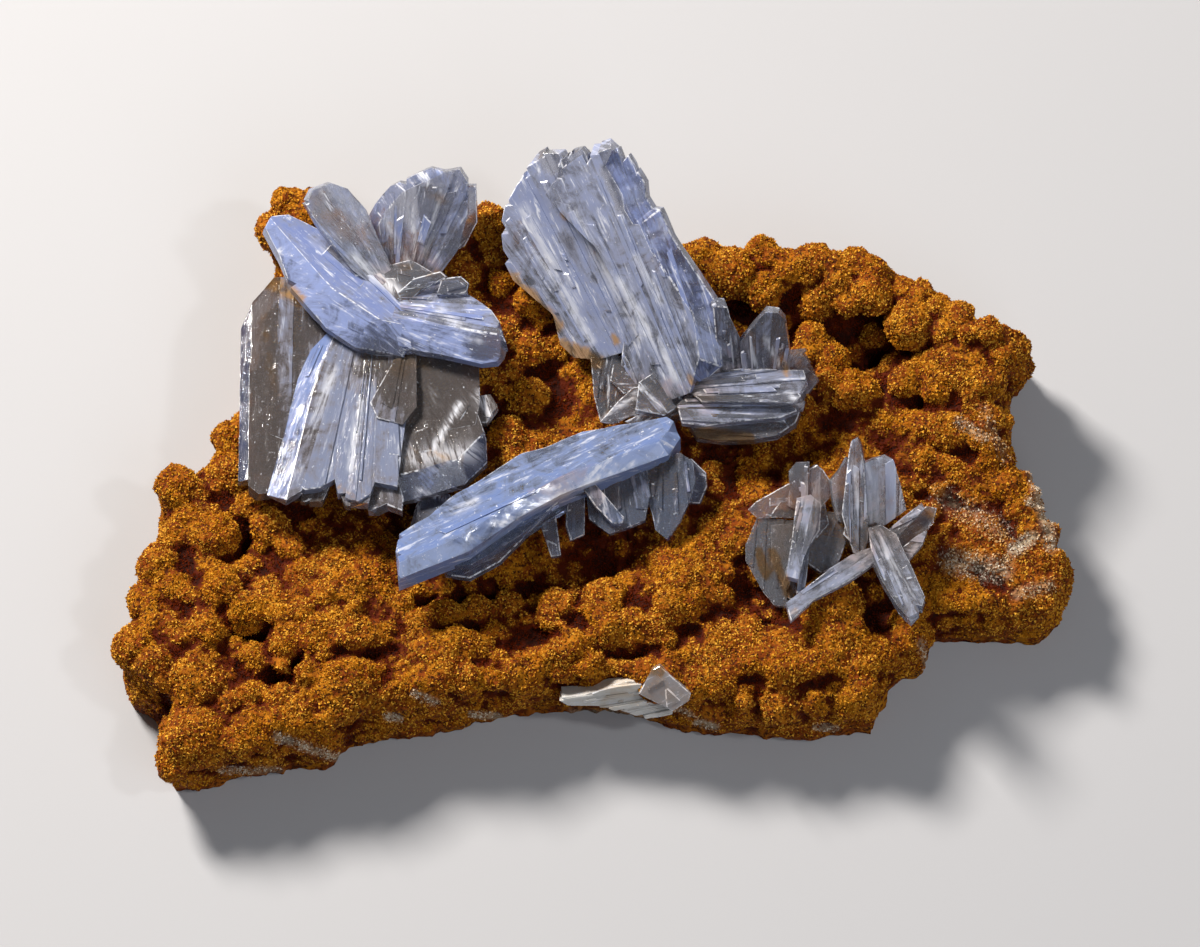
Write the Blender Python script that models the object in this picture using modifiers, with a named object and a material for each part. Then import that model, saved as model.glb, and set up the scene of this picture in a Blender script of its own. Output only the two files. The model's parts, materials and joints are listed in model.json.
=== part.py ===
"""Blue barite crystals on a crust of knobbly limonite: a mineral specimen at its real size.

Metres, +Z up. The specimen lies on its flat back, and its origin is under the middle of its box.
The layout is in millimetres, as the eye meets the specimen from the front and high above, at
VIEW_ELEVATION: `right` and `up` run across that view from its middle, and heights are measured
from the flat back. Each crystal is a flat blade that passes through a stated height at its root
and climbs by a stated slope to the right and up the view.
"""

import math
import random

import bmesh
import bpy
from mathutils import Matrix, Vector

MM = 0.001
VIEW_ELEVATION = math.radians(70)
SIGHT_RISE = math.sin(VIEW_ELEVATION)
SIGHT_LEAN = math.cos(VIEW_ELEVATION) / math.sin(VIEW_ELEVATION)

# The specimen's driving sizes, in millimetres.
CRUST_LEVEL = 12.0        # general height of the limonite's knobbly top
CRUST_WAIST = 6.0         # height at which the limonite reaches furthest out
BACK_INSET = 3.6          # the flat back lies this far inside the outline
SLAB_TOP = 7.0            # solid rock below the knobs
SOCKET_GAP = 0.3          # clearance of a crystal in the limonite that holds it
SLIM_RIM = 0.65           # a crystal with a narrower rim than this is plain underneath
VOXEL = 0.85              # grain of the fused knobs
LIMONITE_TRIANGLES = 3600

# Outline of the limonite in plan, from its back left corner, anticlockwise.
CRUST_OUTLINE = [
    (-42, 37), (-41, 27), (-45, 11), (-47, 8), (-49.5, 3.5), (-54.5, -0.5), (-55.5, -5.5),
    (-55, -9.5), (-57.5, -13), (-59.5, -20), (-60, -23.5), (-58.5, -27), (-54.5, -30),
    (-55, -33), (-53.5, -38), (-51.5, -38.5), (-46, -36.7), (-38.5, -35.4), (-33.5, -35.2),
    (-31, -32.3), (-20, -30.4), (-6, -27.5), (0, -27.5), (6.5, -29.2), (12.5, -30.5),
    (22.5, -31.2), (34, -30.8), (36.5, -24.5), (40.5, -22.5), (42, -18.5), (50, -18.5),
    (55, -18.5), (57.5, -16.5), (59.6, -11), (57.5, -7.2), (55, -0.5), (52.6, 3), (51.6, 9.5),
    (52, 13.5), (54, 16), (53.8, 18.8), (48, 20.6), (43, 24.4), (38, 27.4), (33, 30.2),
    (25, 30.4), (17.5, 30.6), (10, 31), (-9, 33.6), (-14.5, 34.4), (-20, 33), (-28, 34),
    (-35, 36.4)]

# Swells and hollows of the crust: right, back, reach and rise.
SWELLS = [
    (-38.5, 33, 3.0, 5.5), (-14.5, 31.5, 3.2, 3.0), (12, 29, 3.4, 3.5), (19, 27.8, 3.4, 3.6),
    (26, 27.2, 3.4, 3.6), (33, 26.8, 3.4, 3.6), (40, 22.6, 3.4, 3.6), (48, 17.6, 3.6, 3.4),
    (27, 11.5, 4.0, 1.5), (46, 12, 5.0, 2.0), (-9, 24.5, 3.5, 2.5), (-52, -22, 6.0, 1.5),
    (28.5, -19, 5.0, 2.4), (-4, -20, 4.0, 1.2), (12, -12, 6.0, 1.2),
    (33.5, 17, 4.2, -5.5), (-6, 12, 5.0, -2.5), (0, -9.5, 4.6, -4.5), (-10, -14, 5.0, -2.5),
    (17, 5, 5.0, -3.0), (21, -15.5, 3.2, -4.0), (36, -15, 2.8, -6.0), (-45, -21, 2.2, -3.0),
    (-34, -5, 5.0, -2.0), (50, -6, 6.0, -1.5), (55, -14, 4.0, -1.0), (-18, 8, 4.0, -2.5),
    (-22, -4, 3.2, -3.5)]

# Knobs that stand out by themselves: right and up in the view, radius and height of the centre.
CHIEF_KNOBS = [
    (16.5, 25, 3.4, 14.5), (20.5, 22.8, 2.9, 14.0), (-14.3, 31.2, 3.0, 13.5),
    (-8.7, 16, 3.0, 9.5), (-8.5, 9.2, 3.0, 9.0), (-11.5, 4.4, 2.9, 10.5), (27, 15.4, 2.8, 12.5),
    (31.5, 10.4, 3.0, 12.0), (25.2, 7.5, 2.7, 11.5), (28.7, -16.2, 4.4, 11.5),
    (24.5, -21.5, 4.2, 10.0), (21, -22.3, 3.2, 9.5), (-3, -21, 2.9, 11.5),
    (-52.5, -2, 3.2, 10.5), (-47.5, -6.4, 3.5, 11.0), (-54.5, -13.3, 3.4, 10.5),
    (-47.5, -15, 2.9, 12.0), (-56.2, -15.8, 2.6, 9.5), (-51.2, -19, 4.3, 10.5),
    (-56.5, -22, 4.0, 9.0), (-49.4, -26, 4.6, 10.0), (-48.5, -32.3, 4.4, 9.0),
    (-31.9, -28.3, 2.8, 11.0), (-36.9, -30.2, 2.8, 10.0), (39, 18.7, 3.2, 14.0),
    (43.5, 17.5, 2.6, 13.5), (34, 22.5, 2.6, 14.5), (-33, -11.5, 3.0, 11.0),
    (-39.4, 33.4, 2.6, 14.5), (-36, 33.4, 2.3, 14.2)]

# Shallow chips out of the broken back: right, back, radius of the scoop and how deep it bites.
BACK_CHIPS = [(-40, -18, 26, 1.2), (-22, 12, 30, 1.4), (8, -14, 24, 1.0), (24, 10, 30, 1.5),
              (42, -6, 18, 1.0), (-6, 24, 16, 0.9)]
CHIP_TURN = math.radians(52)  # turns each chip's facets away from the last one's


def sighted(right, up, height):
    """Point at `height`, in mm, that the eye sees at `right` and `up` in the layout view."""
    return Vector((right, up / SIGHT_RISE - (height - CRUST_LEVEL) * SIGHT_LEAN, height))


def clear_scene():
    for thing in list(bpy.data.objects):
        bpy.data.objects.remove(thing)


def new_collection(name):
    collection = bpy.data.collections.new(name)
    bpy.context.scene.collection.children.link(collection)
    return collection


def new_object(name, form, collection):
    """Object that holds a bmesh's shape."""
    mesh = bpy.data.meshes.new(name)
    form.to_mesh(mesh)
    form.free()
    thing = bpy.data.objects.new(name, mesh)
    collection.objects.link(thing)
    return thing


def finished_form(thing):
    """Bmesh of an object with its modifiers carried out."""
    thing.data.update()
    bpy.context.view_layer.update()
    depsgraph = bpy.context.evaluated_depsgraph_get()
    mesh = bpy.data.meshes.new_from_object(thing.evaluated_get(depsgraph))
    form = bmesh.new()
    form.from_mesh(mesh)
    bpy.data.meshes.remove(mesh)
    return form


def keep_outer_shell(form):
    """Drop every shell of a bmesh but the one with the most corners."""
    unseen = set(form.verts)
    shells = []
    while unseen:
        shell = set()
        edge_of_search = [unseen.pop()]
        while edge_of_search:
            corner = edge_of_search.pop()
            shell.add(corner)
            for edge in corner.link_edges:
                other = edge.other_vert(corner)
                if other in unseen:
                    unseen.discard(other)
                    edge_of_search.append(other)
        shells.append(shell)
    largest = max(shells, key=len)
    spare = [corner for shell in shells if shell is not largest for corner in shell]
    bmesh.ops.delete(form, geom=spare, context='VERTS')


def tidy(form):
    """Merge doubled corners and dissolve slivers that a union leaves."""
    bmesh.ops.remove_doubles(form, verts=form.verts, dist=0.00001)
    bmesh.ops.dissolve_degenerate(form, edges=form.edges, dist=0.00001)


def flat_prism(outline, thickness):
    """Bmesh of a flat outline in mm, with its top at z = 0 and its thickness below."""
    curve = bpy.data.curves.new("outline", 'CURVE')
    curve.dimensions = '2D'
    curve.fill_mode = 'BOTH'
    curve.extrude = thickness / 2 * MM
    spline = curve.splines.new('POLY')
    spline.points.add(len(outline) - 1)
    for point, (x, y) in zip(spline.points, outline):
        point.co = (x * MM, y * MM, 0, 1)
    spline.use_cyclic_u = True
    holder = bpy.data.objects.new("outline", curve)
    bpy.context.scene.collection.objects.link(holder)
    form = finished_curve_form(holder)
    bpy.data.objects.remove(holder)
    bpy.data.curves.remove(curve)
    bmesh.ops.translate(form, verts=form.verts, vec=(0, 0, -thickness / 2 * MM))
    return form


def finished_curve_form(holder):
    """Bmesh of a filled curve, its loose caps welded to its walls and each cap one face."""
    bpy.context.view_layer.update()
    depsgraph = bpy.context.evaluated_depsgraph_get()
    mesh = bpy.data.meshes.new_from_object(holder.evaluated_get(depsgraph))
    form = bmesh.new()
    form.from_mesh(mesh)
    bpy.data.meshes.remove(mesh)
    bmesh.ops.remove_doubles(form, verts=form.verts, dist=0.000001)
    bmesh.ops.dissolve_limit(form, angle_limit=math.radians(0.5), verts=form.verts, edges=form.edges)
    bmesh.ops.recalc_face_normals(form, faces=form.faces)
    return form


def chamfered_prism(outline, thickness, rim):
    """Tabular crystal: a flat outline whose top rim slopes in by `rim`, and its bottom rim if it is stout."""
    slope = min(0.32 * thickness, 0.6 * rim)
    both_sides = rim > SLIM_RIM
    form = flat_prism(outline, thickness - (2 * slope if both_sides else slope))
    bmesh.ops.translate(form, verts=form.verts, vec=(0, 0, -slope * MM))
    caps = [face for face in form.faces if face.normal.z > 0.9 or both_sides and face.normal.z < -0.9]
    for cap in caps:
        bmesh.ops.inset_region(form, faces=[cap], thickness=rim * MM, depth=slope * MM,
                               use_even_offset=True, use_boundary=True)
    return form


def swollen(form, gap):
    """The same bmesh with every face moved out by `gap` mm."""
    form.normal_update()
    steps = [corner.normal * gap * MM * min(corner.calc_shell_factor(), 2.5) for corner in form.verts]
    for corner, step in zip(form.verts, steps):
        corner.co += step
    return form


class Crystal:
    """One crystal of a cluster: its outline, thickness and rim in mm, and where it is placed."""

    def __init__(self, outline, thickness, rim, placement):
        self.outline = outline
        self.thickness = thickness
        self.rim = rim
        self.placement = placement

    def form(self, gap=0.0):
        form = chamfered_prism(self.outline, self.thickness, self.rim)
        if gap:
            form = swollen(form, gap)
        bmesh.ops.transform(form, matrix=self.placement, verts=form.verts)
        return form


def blade(outline, root, lift, slope, thickness, rim):
    """Crystal seen face on: an outline in the layout view, on a plane `lift` over the crust at its root."""
    def on_face(right, up):
        height = CRUST_LEVEL + lift + slope[0] * (right - root[0]) + slope[1] * (up - root[1])
        return sighted(right, up, height)

    origin = on_face(*root)
    along = (on_face(root[0] + 1, root[1]) - origin).normalized()
    outward = along.cross(on_face(root[0], root[1] + 1) - origin).normalized()
    across = outward.cross(along)
    flat = [((on_face(*spot) - origin).dot(along), (on_face(*spot) - origin).dot(across))
            for spot in outline]
    turn = Matrix((along, across, outward)).transposed().to_4x4()
    return Crystal(flat, thickness, rim, Matrix.Translation(origin * MM) @ turn)


def root_prism(right, up, length, width, low, high, turn):
    """Stout six-sided crystal standing in the crust, that carries the blades above it."""
    outline = [(-length / 2, 0), (-length / 4, -width / 2), (length / 4, -width / 2),
               (length / 2, 0), (length / 4, width / 2), (-length / 4, width / 2)]
    foot = sighted(right, up, CRUST_LEVEL)
    placement = Matrix.Translation(Vector((foot.x, foot.y, high)) * MM)
    placement = placement @ Matrix.Rotation(math.radians(turn), 4, 'Z')
    return Crystal(outline, high - low, 0.6, placement)


# The rosette at the upper left: two wings, two leaves that climb at the back, and small fins.
UPPER_LEFT_ROSETTE = [
    blade([(-42, 31.5), (-41.1, 32.5), (-39, 32.7), (-35.5, 31), (-31, 29), (-26, 26),
           (-24.6, 22), (-24.7, 15.6), (-30.2, 16.7), (-34, 19.2), (-38.4, 24.2), (-40, 28)],
          root=(-25.6, 23), lift=5.6, slope=(-0.15, -0.12), thickness=3.4, rim=1.3),
    blade([(-27, 23.5), (-25.5, 15.4), (-23.8, 16.3), (-20, 15.7), (-15, 14.6), (-13, 14.8),
           (-11.7, 16.4), (-12.4, 18.8), (-13.6, 20.6), (-16.5, 22.6), (-17, 24.4), (-23.5, 24.3)],
          root=(-25.6, 23), lift=5.3, slope=(0.10, -0.15), thickness=3.2, rim=1.4),
    blade([(-36.7, 33.6), (-35.8, 35.4), (-33.5, 36.3), (-31.5, 35.6), (-29.2, 33), (-28, 30),
           (-25.2, 24), (-26.5, 22), (-31, 25.5), (-34.8, 30.4)],
          root=(-26, 24), lift=4.8, slope=(-0.26, 0.44), thickness=2.4, rim=1.1),
    blade([(-29.8, 30.8), (-28.2, 33.6), (-26.4, 35.7), (-23.6, 37), (-21.2, 38.1),
           (-19.5, 37.7), (-17.5, 38), (-16.6, 37.4), (-16.6, 32.4), (-17.8, 28),
           (-20, 25), (-24.4, 24.8), (-28.6, 27.6)],
          root=(-24, 25), lift=4.4, slope=(0.06, 0.56), thickness=2.2, rim=0.9),
    blade([(-23, 36), (-15.6, 36), (-15.4, 31.5), (-17, 28.5), (-22, 26)],
          root=(-24, 25), lift=1.9, slope=(0.06, 0.60), thickness=1.5, rim=0.4),
    blade([(-25.4, 22.6), (-23.4, 24.4), (-20, 25.3), (-19.2, 24.6), (-22.5, 22.8), (-24.5, 21)],
          root=(-25, 23), lift=6.4, slope=(0.16, 0.55), thickness=1.4, rim=0.4),
    blade([(-20.5, 22.4), (-19.8, 24.4), (-17.4, 24.7), (-16.4, 23.8), (-16.7, 22.4)],
          root=(-20, 23), lift=6.6, slope=(0.05, 0.30), thickness=1.6, rim=0.4),
    root_prism(-25.2, 22.2, 9, 5, 6.5, 17.6, 15),
    root_prism(-29, 24.2, 6, 3.5, 7, 17.0, 120)]

# The stack of blades at the lower left, which fans forward from under the rosette.
LOWER_LEFT_BLADES = [
    blade([(-45, 18.6), (-43.6, 21.6), (-41, 24.7), (-39.5, 24.7), (-33, 18.6), (-32, 8),
           (-35, -1), (-41.2, -2.4), (-43.6, -2.6), (-43.8, -0.7), (-45, -0.7)],
          root=(-25, 14.5), lift=1.6, slope=(-0.06, -0.13), thickness=2.0, rim=0.9),
    blade([(-33.7, 18.4), (-36.2, 16.1), (-37.8, 12.5), (-39.4, 5.5), (-41.4, -2), (-39, -3.2),
           (-37, -2), (-34.8, -1.7), (-32, 4), (-27, 13), (-27, 16.5)],
          root=(-26, 15), lift=3.4, slope=(-0.03, -0.19), thickness=2.2, rim=1.3),
    blade([(-36.6, 12), (-35, -0.1), (-33, -0.1), (-31, 6), (-28, 14.5), (-32, 15.5)],
          root=(-26, 15), lift=3.0, slope=(-0.05, -0.21), thickness=1.8, rim=0.5),
    blade([(-33.6, 6), (-32.5, -2), (-31.6, -3.9), (-28.8, -4), (-27.5, 2), (-25.6, 10),
           (-26.5, 15.5), (-31, 14)],
          root=(-26, 15), lift=3.7, slope=(0.02, -0.20), thickness=2.0, rim=0.6),
    blade([(-30, 2), (-28.8, -4.5), (-24.6, -4.7), (-24.4, -3), (-26, 2), (-24, 11), (-28, 12)],
          root=(-26, 15), lift=2.4, slope=(0.03, -0.19), thickness=1.8, rim=0.5),
    blade([(-28, 15.6), (-20, 15.8), (-15.2, 14.6), (-15, 9), (-15.6, 5.8), (-20, 3.8),
           (-25.5, 4), (-28, 8)],
          root=(-25, 15), lift=2.7, slope=(0.02, -0.12), thickness=1.9, rim=0.7),
    blade([(-25.8, 7), (-21, 6.6), (-15.2, 7.4), (-14.2, 4.6), (-14.1, 2.4), (-16.9, -0.3),
           (-21.2, -1.6), (-24.4, -2.4), (-26.6, -1.8), (-26.2, 2.4)],
          root=(-22, 12), lift=2.6, slope=(0.02, -0.21), thickness=3.2, rim=1.5),
    blade([(-28.7, 9), (-25.8, 14.2), (-23, 15.2), (-22.9, 8.4), (-24.6, 6.2), (-27.8, 7)],
          root=(-25, 15), lift=4.2, slope=(0.12, -0.14), thickness=1.5, rim=0.5),
    blade([(-16.5, 9.5), (-13.7, 9.9), (-12.8, 8.4), (-14.2, 6.4), (-16.5, 6.4)],
          root=(-15, 9), lift=2.6, slope=(0.10, -0.05), thickness=1.4, rim=0.4),
    blade([(-38.2, 0), (-38, -3.2), (-34.6, -3.8), (-33.6, -1.5), (-33.6, 3), (-36, 4)],
          root=(-26, 15), lift=1.7, slope=(-0.04, -0.18), thickness=1.3, rim=0.4),
    root_prism(-26, 14, 10, 4.5, 6.5, 14.6, -8),
    root_prism(-21, 10, 7, 3.6, 6.5, 14.2, 60),
    root_prism(-35, 12, 6, 3.2, 6.5, 14.0, 100)]

# The great blades in the middle, which climb to the back and reach past the crust's edge,
# with the fan of flat blades that grew at their foot.
CENTRE_ROSETTE = [
    blade([(-12.5, 31), (-11.9, 33.6), (-10, 37), (-8.1, 39.9), (-6.2, 41.1), (-5, 39.9),
           (-3.4, 37), (-1.2, 32.4), (1.4, 26.7), (5.2, 18), (3.1, 15.2), (-0.2, 14.2),
           (-3.4, 14.5), (-5, 16.1), (-6, 19.9), (-8.1, 21.7), (-11, 24.2), (-12.1, 26.5)],
          root=(6, 11), lift=2.2, slope=(0.30, 0.56), thickness=2.8, rim=1.2),
    blade([(-6.9, 34.8), (-4.4, 38.4), (-1.9, 40.2), (-1, 41.1), (0.4, 41.2), (1.5, 40.2),
           (2.5, 40.1), (5.1, 35.9), (5.3, 34), (6.1, 32.7), (7, 32.6), (8.5, 29.2),
           (14, 20.9), (14.6, 18), (14.7, 13), (11.2, 10), (8.7, 9.2), (6.4, 13),
           (3.4, 21.2), (-0.4, 28), (-4, 31.6)],
          root=(8, 10), lift=4.3, slope=(0.31, 0.55), thickness=3.2, rim=1.7),
    blade([(-5.4, 37), (-4.8, 39.4), (-3.5, 40.3), (-2.4, 40.5), (-1.6, 39.6), (-0.8, 34)],
          root=(8, 10), lift=2.9, slope=(0.30, 0.58), thickness=1.8, rim=0.5),
    blade([(3.1, 18.6), (5.8, 18.2), (7.6, 15.2), (9.4, 10.4), (7, 8.6), (5, 10.6), (2.6, 13.6)],
          root=(7, 10), lift=2.0, slope=(0.22, 0.50), thickness=2.4, rim=0.6),
    blade([(-1.2, 14.6), (2, 15), (4.6, 12.8), (4.4, 9.2), (1.6, 6.8), (0, 6.6), (-0.8, 9.8)],
          root=(4, 9), lift=0.8, slope=(0.10, 0.34), thickness=1.8, rim=0.5),
    blade([(0, 6.5), (2.2, 9), (4.1, 10.8), (5.8, 11), (8, 9.6), (8.4, 7.8), (3.7, 7.2), (1.5, 6.2)],
          root=(6, 9), lift=2.3, slope=(0.08, 0.22), thickness=1.2, rim=0.4),
    blade([(3.1, 6.5), (6.2, 8), (9.4, 9.3), (12, 9.6), (10.4, 7.6), (7.5, 6.8), (5, 5.9)],
          root=(8, 8), lift=2.9, slope=(0.06, 0.30), thickness=1.2, rim=0.4),
    blade([(10.4, 11), (12.6, 12.7), (19, 13.2), (25.4, 13), (26.2, 10.6), (24, 8.8), (17.5, 8.9),
           (12.7, 9)],
          root=(12, 10), lift=5.4, slope=(0.06, 0.02), thickness=1.3, rim=0.5),
    blade([(9.6, 8.6), (11, 10), (18, 10.6), (25.9, 10.4), (25.3, 8.2), (22.5, 7), (17, 6.5),
           (13, 6), (10.2, 6.4)],
          root=(12, 9), lift=4.4, slope=(0.04, -0.03), thickness=1.4, rim=0.5),
    blade([(10.4, 7.6), (12.5, 9), (20, 9), (25, 8), (24.4, 6.4), (22, 4.8), (19, 4.3),
           (15, 4.2), (12, 4.6)],
          root=(12, 8), lift=2.9, slope=(0.07, 0.02), thickness=2.2, rim=0.6),
    blade([(17.4, 16.2), (18.7, 17.8), (20.6, 20), (22.2, 19.9), (23, 19), (23.5, 16),
           (23.8, 12.6), (21, 9.6), (18, 11)],
          root=(21, 12), lift=5.0, slope=(0.08, 0.85), thickness=1.9, rim=0.7),
    blade([(14.1, 20.6), (14.8, 21.2), (15.7, 21.3), (16.3, 19.2), (17.6, 16.7), (18.4, 12.5),
           (16.5, 10.5), (14.4, 12), (14.5, 16)],
          root=(16, 12), lift=4.8, slope=(-0.20, 0.80), thickness=1.8, rim=0.5),
    blade([(23.5, 15.4), (25.6, 15.7), (26.1, 14), (27.2, 11.6), (26, 10), (21, 9.6), (22, 13)],
          root=(23, 11), lift=3.7, slope=(0.16, 0.34), thickness=1.4, rim=0.4),
    root_prism(8.5, 9.5, 10, 5.5, 6, 15.6, 35),
    root_prism(13.5, 8, 8, 5, 6, 15.4, 5),
    root_prism(3.5, 12, 6, 4, 6, 14.2, 80)]

# The long bar across the middle, on a stack of thin plates and short cross blades.
LONG_BLADE_CLUSTER = [
    blade([(-25.3, -9.6), (-24.9, -7.4), (-23.5, -6.5), (-21.2, -5.2), (-18.7, -3), (-13.7, 0.1),
           (-10, 2.6), (-6.9, 3.4), (-2.2, 5.4), (5, 6.5), (8.3, 7.2), (9.2, 6.6), (10, 5.1),
           (8.5, 3), (5, 1.7), (-1.2, -0.5), (-5, -2), (-10, -4.7), (-16.2, -8.9), (-25, -12.4)],
          root=(-6, 0), lift=6.3, slope=(0.03, -0.24), thickness=4.2, rim=1.4),
    blade([(-21.5, -11.6), (-16, -11.2), (-10, -7.6), (-5, -3.4), (2.5, -0.4), (7.6, 1.8),
           (5, 3.8), (-5, 0), (-14, -4.6)],
          root=(-6, -1), lift=3.7, slope=(0.05, -0.20), thickness=1.4, rim=0.4),
    blade([(-19.6, -12.4), (-16.2, -12.9), (-12.5, -10.9), (-9, -7.4), (-3, -3.6), (-2, -0.6),
           (-12, -5)],
          root=(-6, -2), lift=2.3, slope=(0.06, -0.13), thickness=1.3, rim=0.4),
    blade([(-7.8, -2), (-5.8, -2.6), (-4.9, -10.1), (-6.1, -10.3), (-7.3, -6.8)],
          root=(-6.5, -3), lift=2.8, slope=(0.05, 0.12), thickness=1.3, rim=0.35),
    blade([(-3.9, -1), (-1.8, -1.6), (-1.9, -7.6), (-3.6, -8.3), (-4.2, -6.4)],
          root=(-3, -2), lift=3.0, slope=(-0.12, 0.16), thickness=1.4, rim=0.4),
    blade([(-2.6, -1.2), (-1.1, -0.6), (3, -5.4), (2.8, -6.1), (1.6, -6.2), (-0.4, -4.2)],
          root=(0, -2), lift=4.6, slope=(-0.04, 0.05), thickness=1.3, rim=0.35),
    blade([(-1.8, -1.6), (2.5, 0.6), (5.8, 1), (6.2, -2.6), (5.6, -5.8), (1.2, -7.5), (-1.4, -5.6)],
          root=(2, -1), lift=3.1, slope=(0.04, 0.16), thickness=1.8, rim=0.6),
    blade([(5.6, 1.4), (10, 2.6), (11.5, 1.5), (11.9, -0.7), (11.2, -3.2), (10, -5.8),
           (8.3, -8.2), (6.9, -7), (6, -3.2)],
          root=(8, 0), lift=3.4, slope=(0.10, 0.22), thickness=1.8, rim=0.7),
    blade([(8.6, 1.8), (11.4, 1.9), (13.2, 0.2), (13.3, -1.6), (12.4, -3.7), (9, -3.6)],
          root=(9, 0), lift=1.9, slope=(0.12, 0.20), thickness=1.4, rim=0.5),
    blade([(-23.8, -6.8), (-23, -4), (-22.2, -2), (-21.2, -1.7), (-18.8, -2.4), (-17.6, -5),
           (-18.6, -8.4), (-22.4, -9.6)],
          root=(-21, -6), lift=3.0, slope=(0.10, -0.40), thickness=1.2, rim=0.4),
    root_prism(1, 0, 9, 4.5, 5, 15.4, 20),
    root_prism(8, -1, 6, 4, 6, 14.6, 70),
    root_prism(-9, -3.4, 9, 3.6, 5, 15.2, 28)]

# The loose sheaf of prisms at the right.
PRISM_CLUSTER = [
    blade([(30.9, 2.7), (31.2, 4), (31.9, 4.4), (32.3, 3.6), (32.7, 1.7), (33.1, -3.2),
           (33.3, -8.2), (32.7, -10.2), (31.4, -9.8), (30, -5.1), (30.5, -0.7)],
          root=(32, -8), lift=4.2, slope=(0.10, 0.46), thickness=1.9, rim=0.5),
    blade([(28.7, -1), (30, 0.6), (30.8, 2), (31.8, -2), (31.4, -6.4), (29.6, -5.9), (29, -3.2)],
          root=(31, -5), lift=3.6, slope=(-0.20, 0.40), thickness=1.3, rim=0.4),
    blade([(32.6, 1.1), (33.9, 1.7), (35.6, 2.2), (36.5, 1.7), (37.3, -1), (38.1, -4.5),
           (35.6, -6.4), (33.7, -7.4), (32.2, -5.7)],
          root=(34, -6), lift=3.5, slope=(-0.08, 0.44), thickness=2.0, rim=0.7),
    blade([(33.3, -6.8), (34.9, -6.2), (36.8, -7.4), (38.3, -10.7), (40.2, -15.1), (39.8, -16.6),
           (38.4, -18), (36.9, -16.4), (35, -13.2), (33.8, -10.6)],
          root=(35, -8), lift=5.3, slope=(0.05, -0.06), thickness=2.6, rim=0.8),
    blade([(23.1, -15.9), (25, -14.5), (28.7, -11.6), (31.2, -10), (34, -9), (34.2, -11),
           (31.2, -13.1), (26.5, -15.6), (23.7, -18.2), (23.4, -17.2)],
          root=(33, -10), lift=4.0, slope=(-0.04, 0.04), thickness=1.7, rim=0.5),
    blade([(34.8, -7.8), (37.5, -5.5), (40, -3.6), (40.4, -4.3), (38.1, -6.6), (36.4, -8.8)],
          root=(36, -7), lift=4.4, slope=(0.02, 0.10), thickness=1.2, rim=0.35),
    blade([(35.6, -8.4), (40.6, -3.9), (41.9, -4.2), (41.5, -5.8), (39.4, -8.4), (37, -10.4)],
          root=(37, -8), lift=3.3, slope=(0.06, 0.06), thickness=1.4, rim=0.4),
    blade([(36.6, -9.8), (39.6, -7.6), (40.7, -7), (40.1, -8.7), (38.3, -10.8), (37, -11.6)],
          root=(37, -9), lift=3.6, slope=(0.04, 0.02), thickness=1.2, rim=0.35),
    blade([(23.5, 0.3), (24.4, 1.4), (26.5, 1.5), (27.8, 0.4), (28.7, -1), (28.6, -3),
           (26.4, -5.4), (23.2, -4), (23.6, -2)],
          root=(26, -4), lift=3.4, slope=(0.04, 0.36), thickness=1.6, rim=0.6),
    blade([(18.4, -4.5), (19.4, -3.5), (23.5, -1.2), (26, -3), (25, -5.6), (21.9, -5.5),
           (19.6, -5.6)],
          root=(25, -4), lift=2.9, slope=(0.04, 0.30), thickness=1.4, rim=0.5),
    blade([(24.5, -3), (26.2, -2.6), (27.4, -3.6), (26.8, -7), (25.2, -10.7), (24.6, -13.1),
           (23.1, -12.7), (23.7, -8.9)],
          root=(26, -5), lift=4.7, slope=(-0.05, -0.02), thickness=1.5, rim=0.45),
    blade([(27.6, -3.4), (27.3, -7), (26.1, -8.9), (25.7, -12.6), (25.4, -14.6), (24.4, -14.8),
           (25, -10), (25.8, -4)],
          root=(26.6, -5), lift=3.4, slope=(-0.02, 0.02), thickness=1.3, rim=0.35),
    blade([(25.6, -7.4), (28.1, -4.6), (31, -5), (30.6, -8.4), (29.5, -11.5), (27.5, -12.3),
           (25.6, -11)],
          root=(29, -6), lift=2.3, slope=(0.02, 0.06), thickness=1.5, rim=0.5),
    blade([(19.6, -5.4), (21.2, -5.6), (24.6, -5.8), (25.4, -9), (24.2, -12.6), (24.5, -15.8),
           (23.1, -16.5), (21.9, -16.7), (20.2, -14.6), (18.1, -10.8), (18.1, -8.9)],
          root=(24, -7), lift=2.1, slope=(0.10, 0.18), thickness=1.6, rim=0.7),
    blade([(21.2, -6.4), (23.8, -6.2), (24.3, -8.9), (23.8, -12.6), (23, -14.4), (21.4, -11)],
          root=(23.6, -7), lift=3.3, slope=(0.16, 0.14), thickness=1.4, rim=0.35),
    root_prism(32.5, -7.6, 6, 4, 5, 15.4, 80),
    root_prism(26.5, -6, 6, 3.6, 5, 14.6, 100),
    root_prism(29.6, -7, 6.4, 3, 6, 13.6, -10)]

# Broken white barite in the front edge of the crust, with one clear plate standing in it.
EDGE_SPAR = [
    blade([(-5.6, -28.1), (-2, -27.7), (0.4, -26.8), (3.7, -26), (6.2, -26.2), (8.2, -27),
           (9, -28.6), (9, -30.2), (5, -30.6), (1.2, -29.3), (-3.6, -29.2)],
          root=(3, -27), lift=-1.4, slope=(0.04, 0.85), thickness=3.6, rim=0.6),
    blade([(4.8, -27.4), (6.4, -24.4), (7.4, -23.9), (11.3, -27.4), (11, -28.3), (9, -29.6)],
          root=(8, -27), lift=-0.4, slope=(0.05, 0.60), thickness=1.4, rim=0.4)]

CLUSTERS = {
    "upper_left_rosette": UPPER_LEFT_ROSETTE,
    "lower_left_blades": LOWER_LEFT_BLADES,
    "centre_rosette": CENTRE_ROSETTE,
    "long_blade_cluster": LONG_BLADE_CLUSTER,
    "prism_cluster": PRISM_CLUSTER,
    "edge_spar": EDGE_SPAR}


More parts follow.
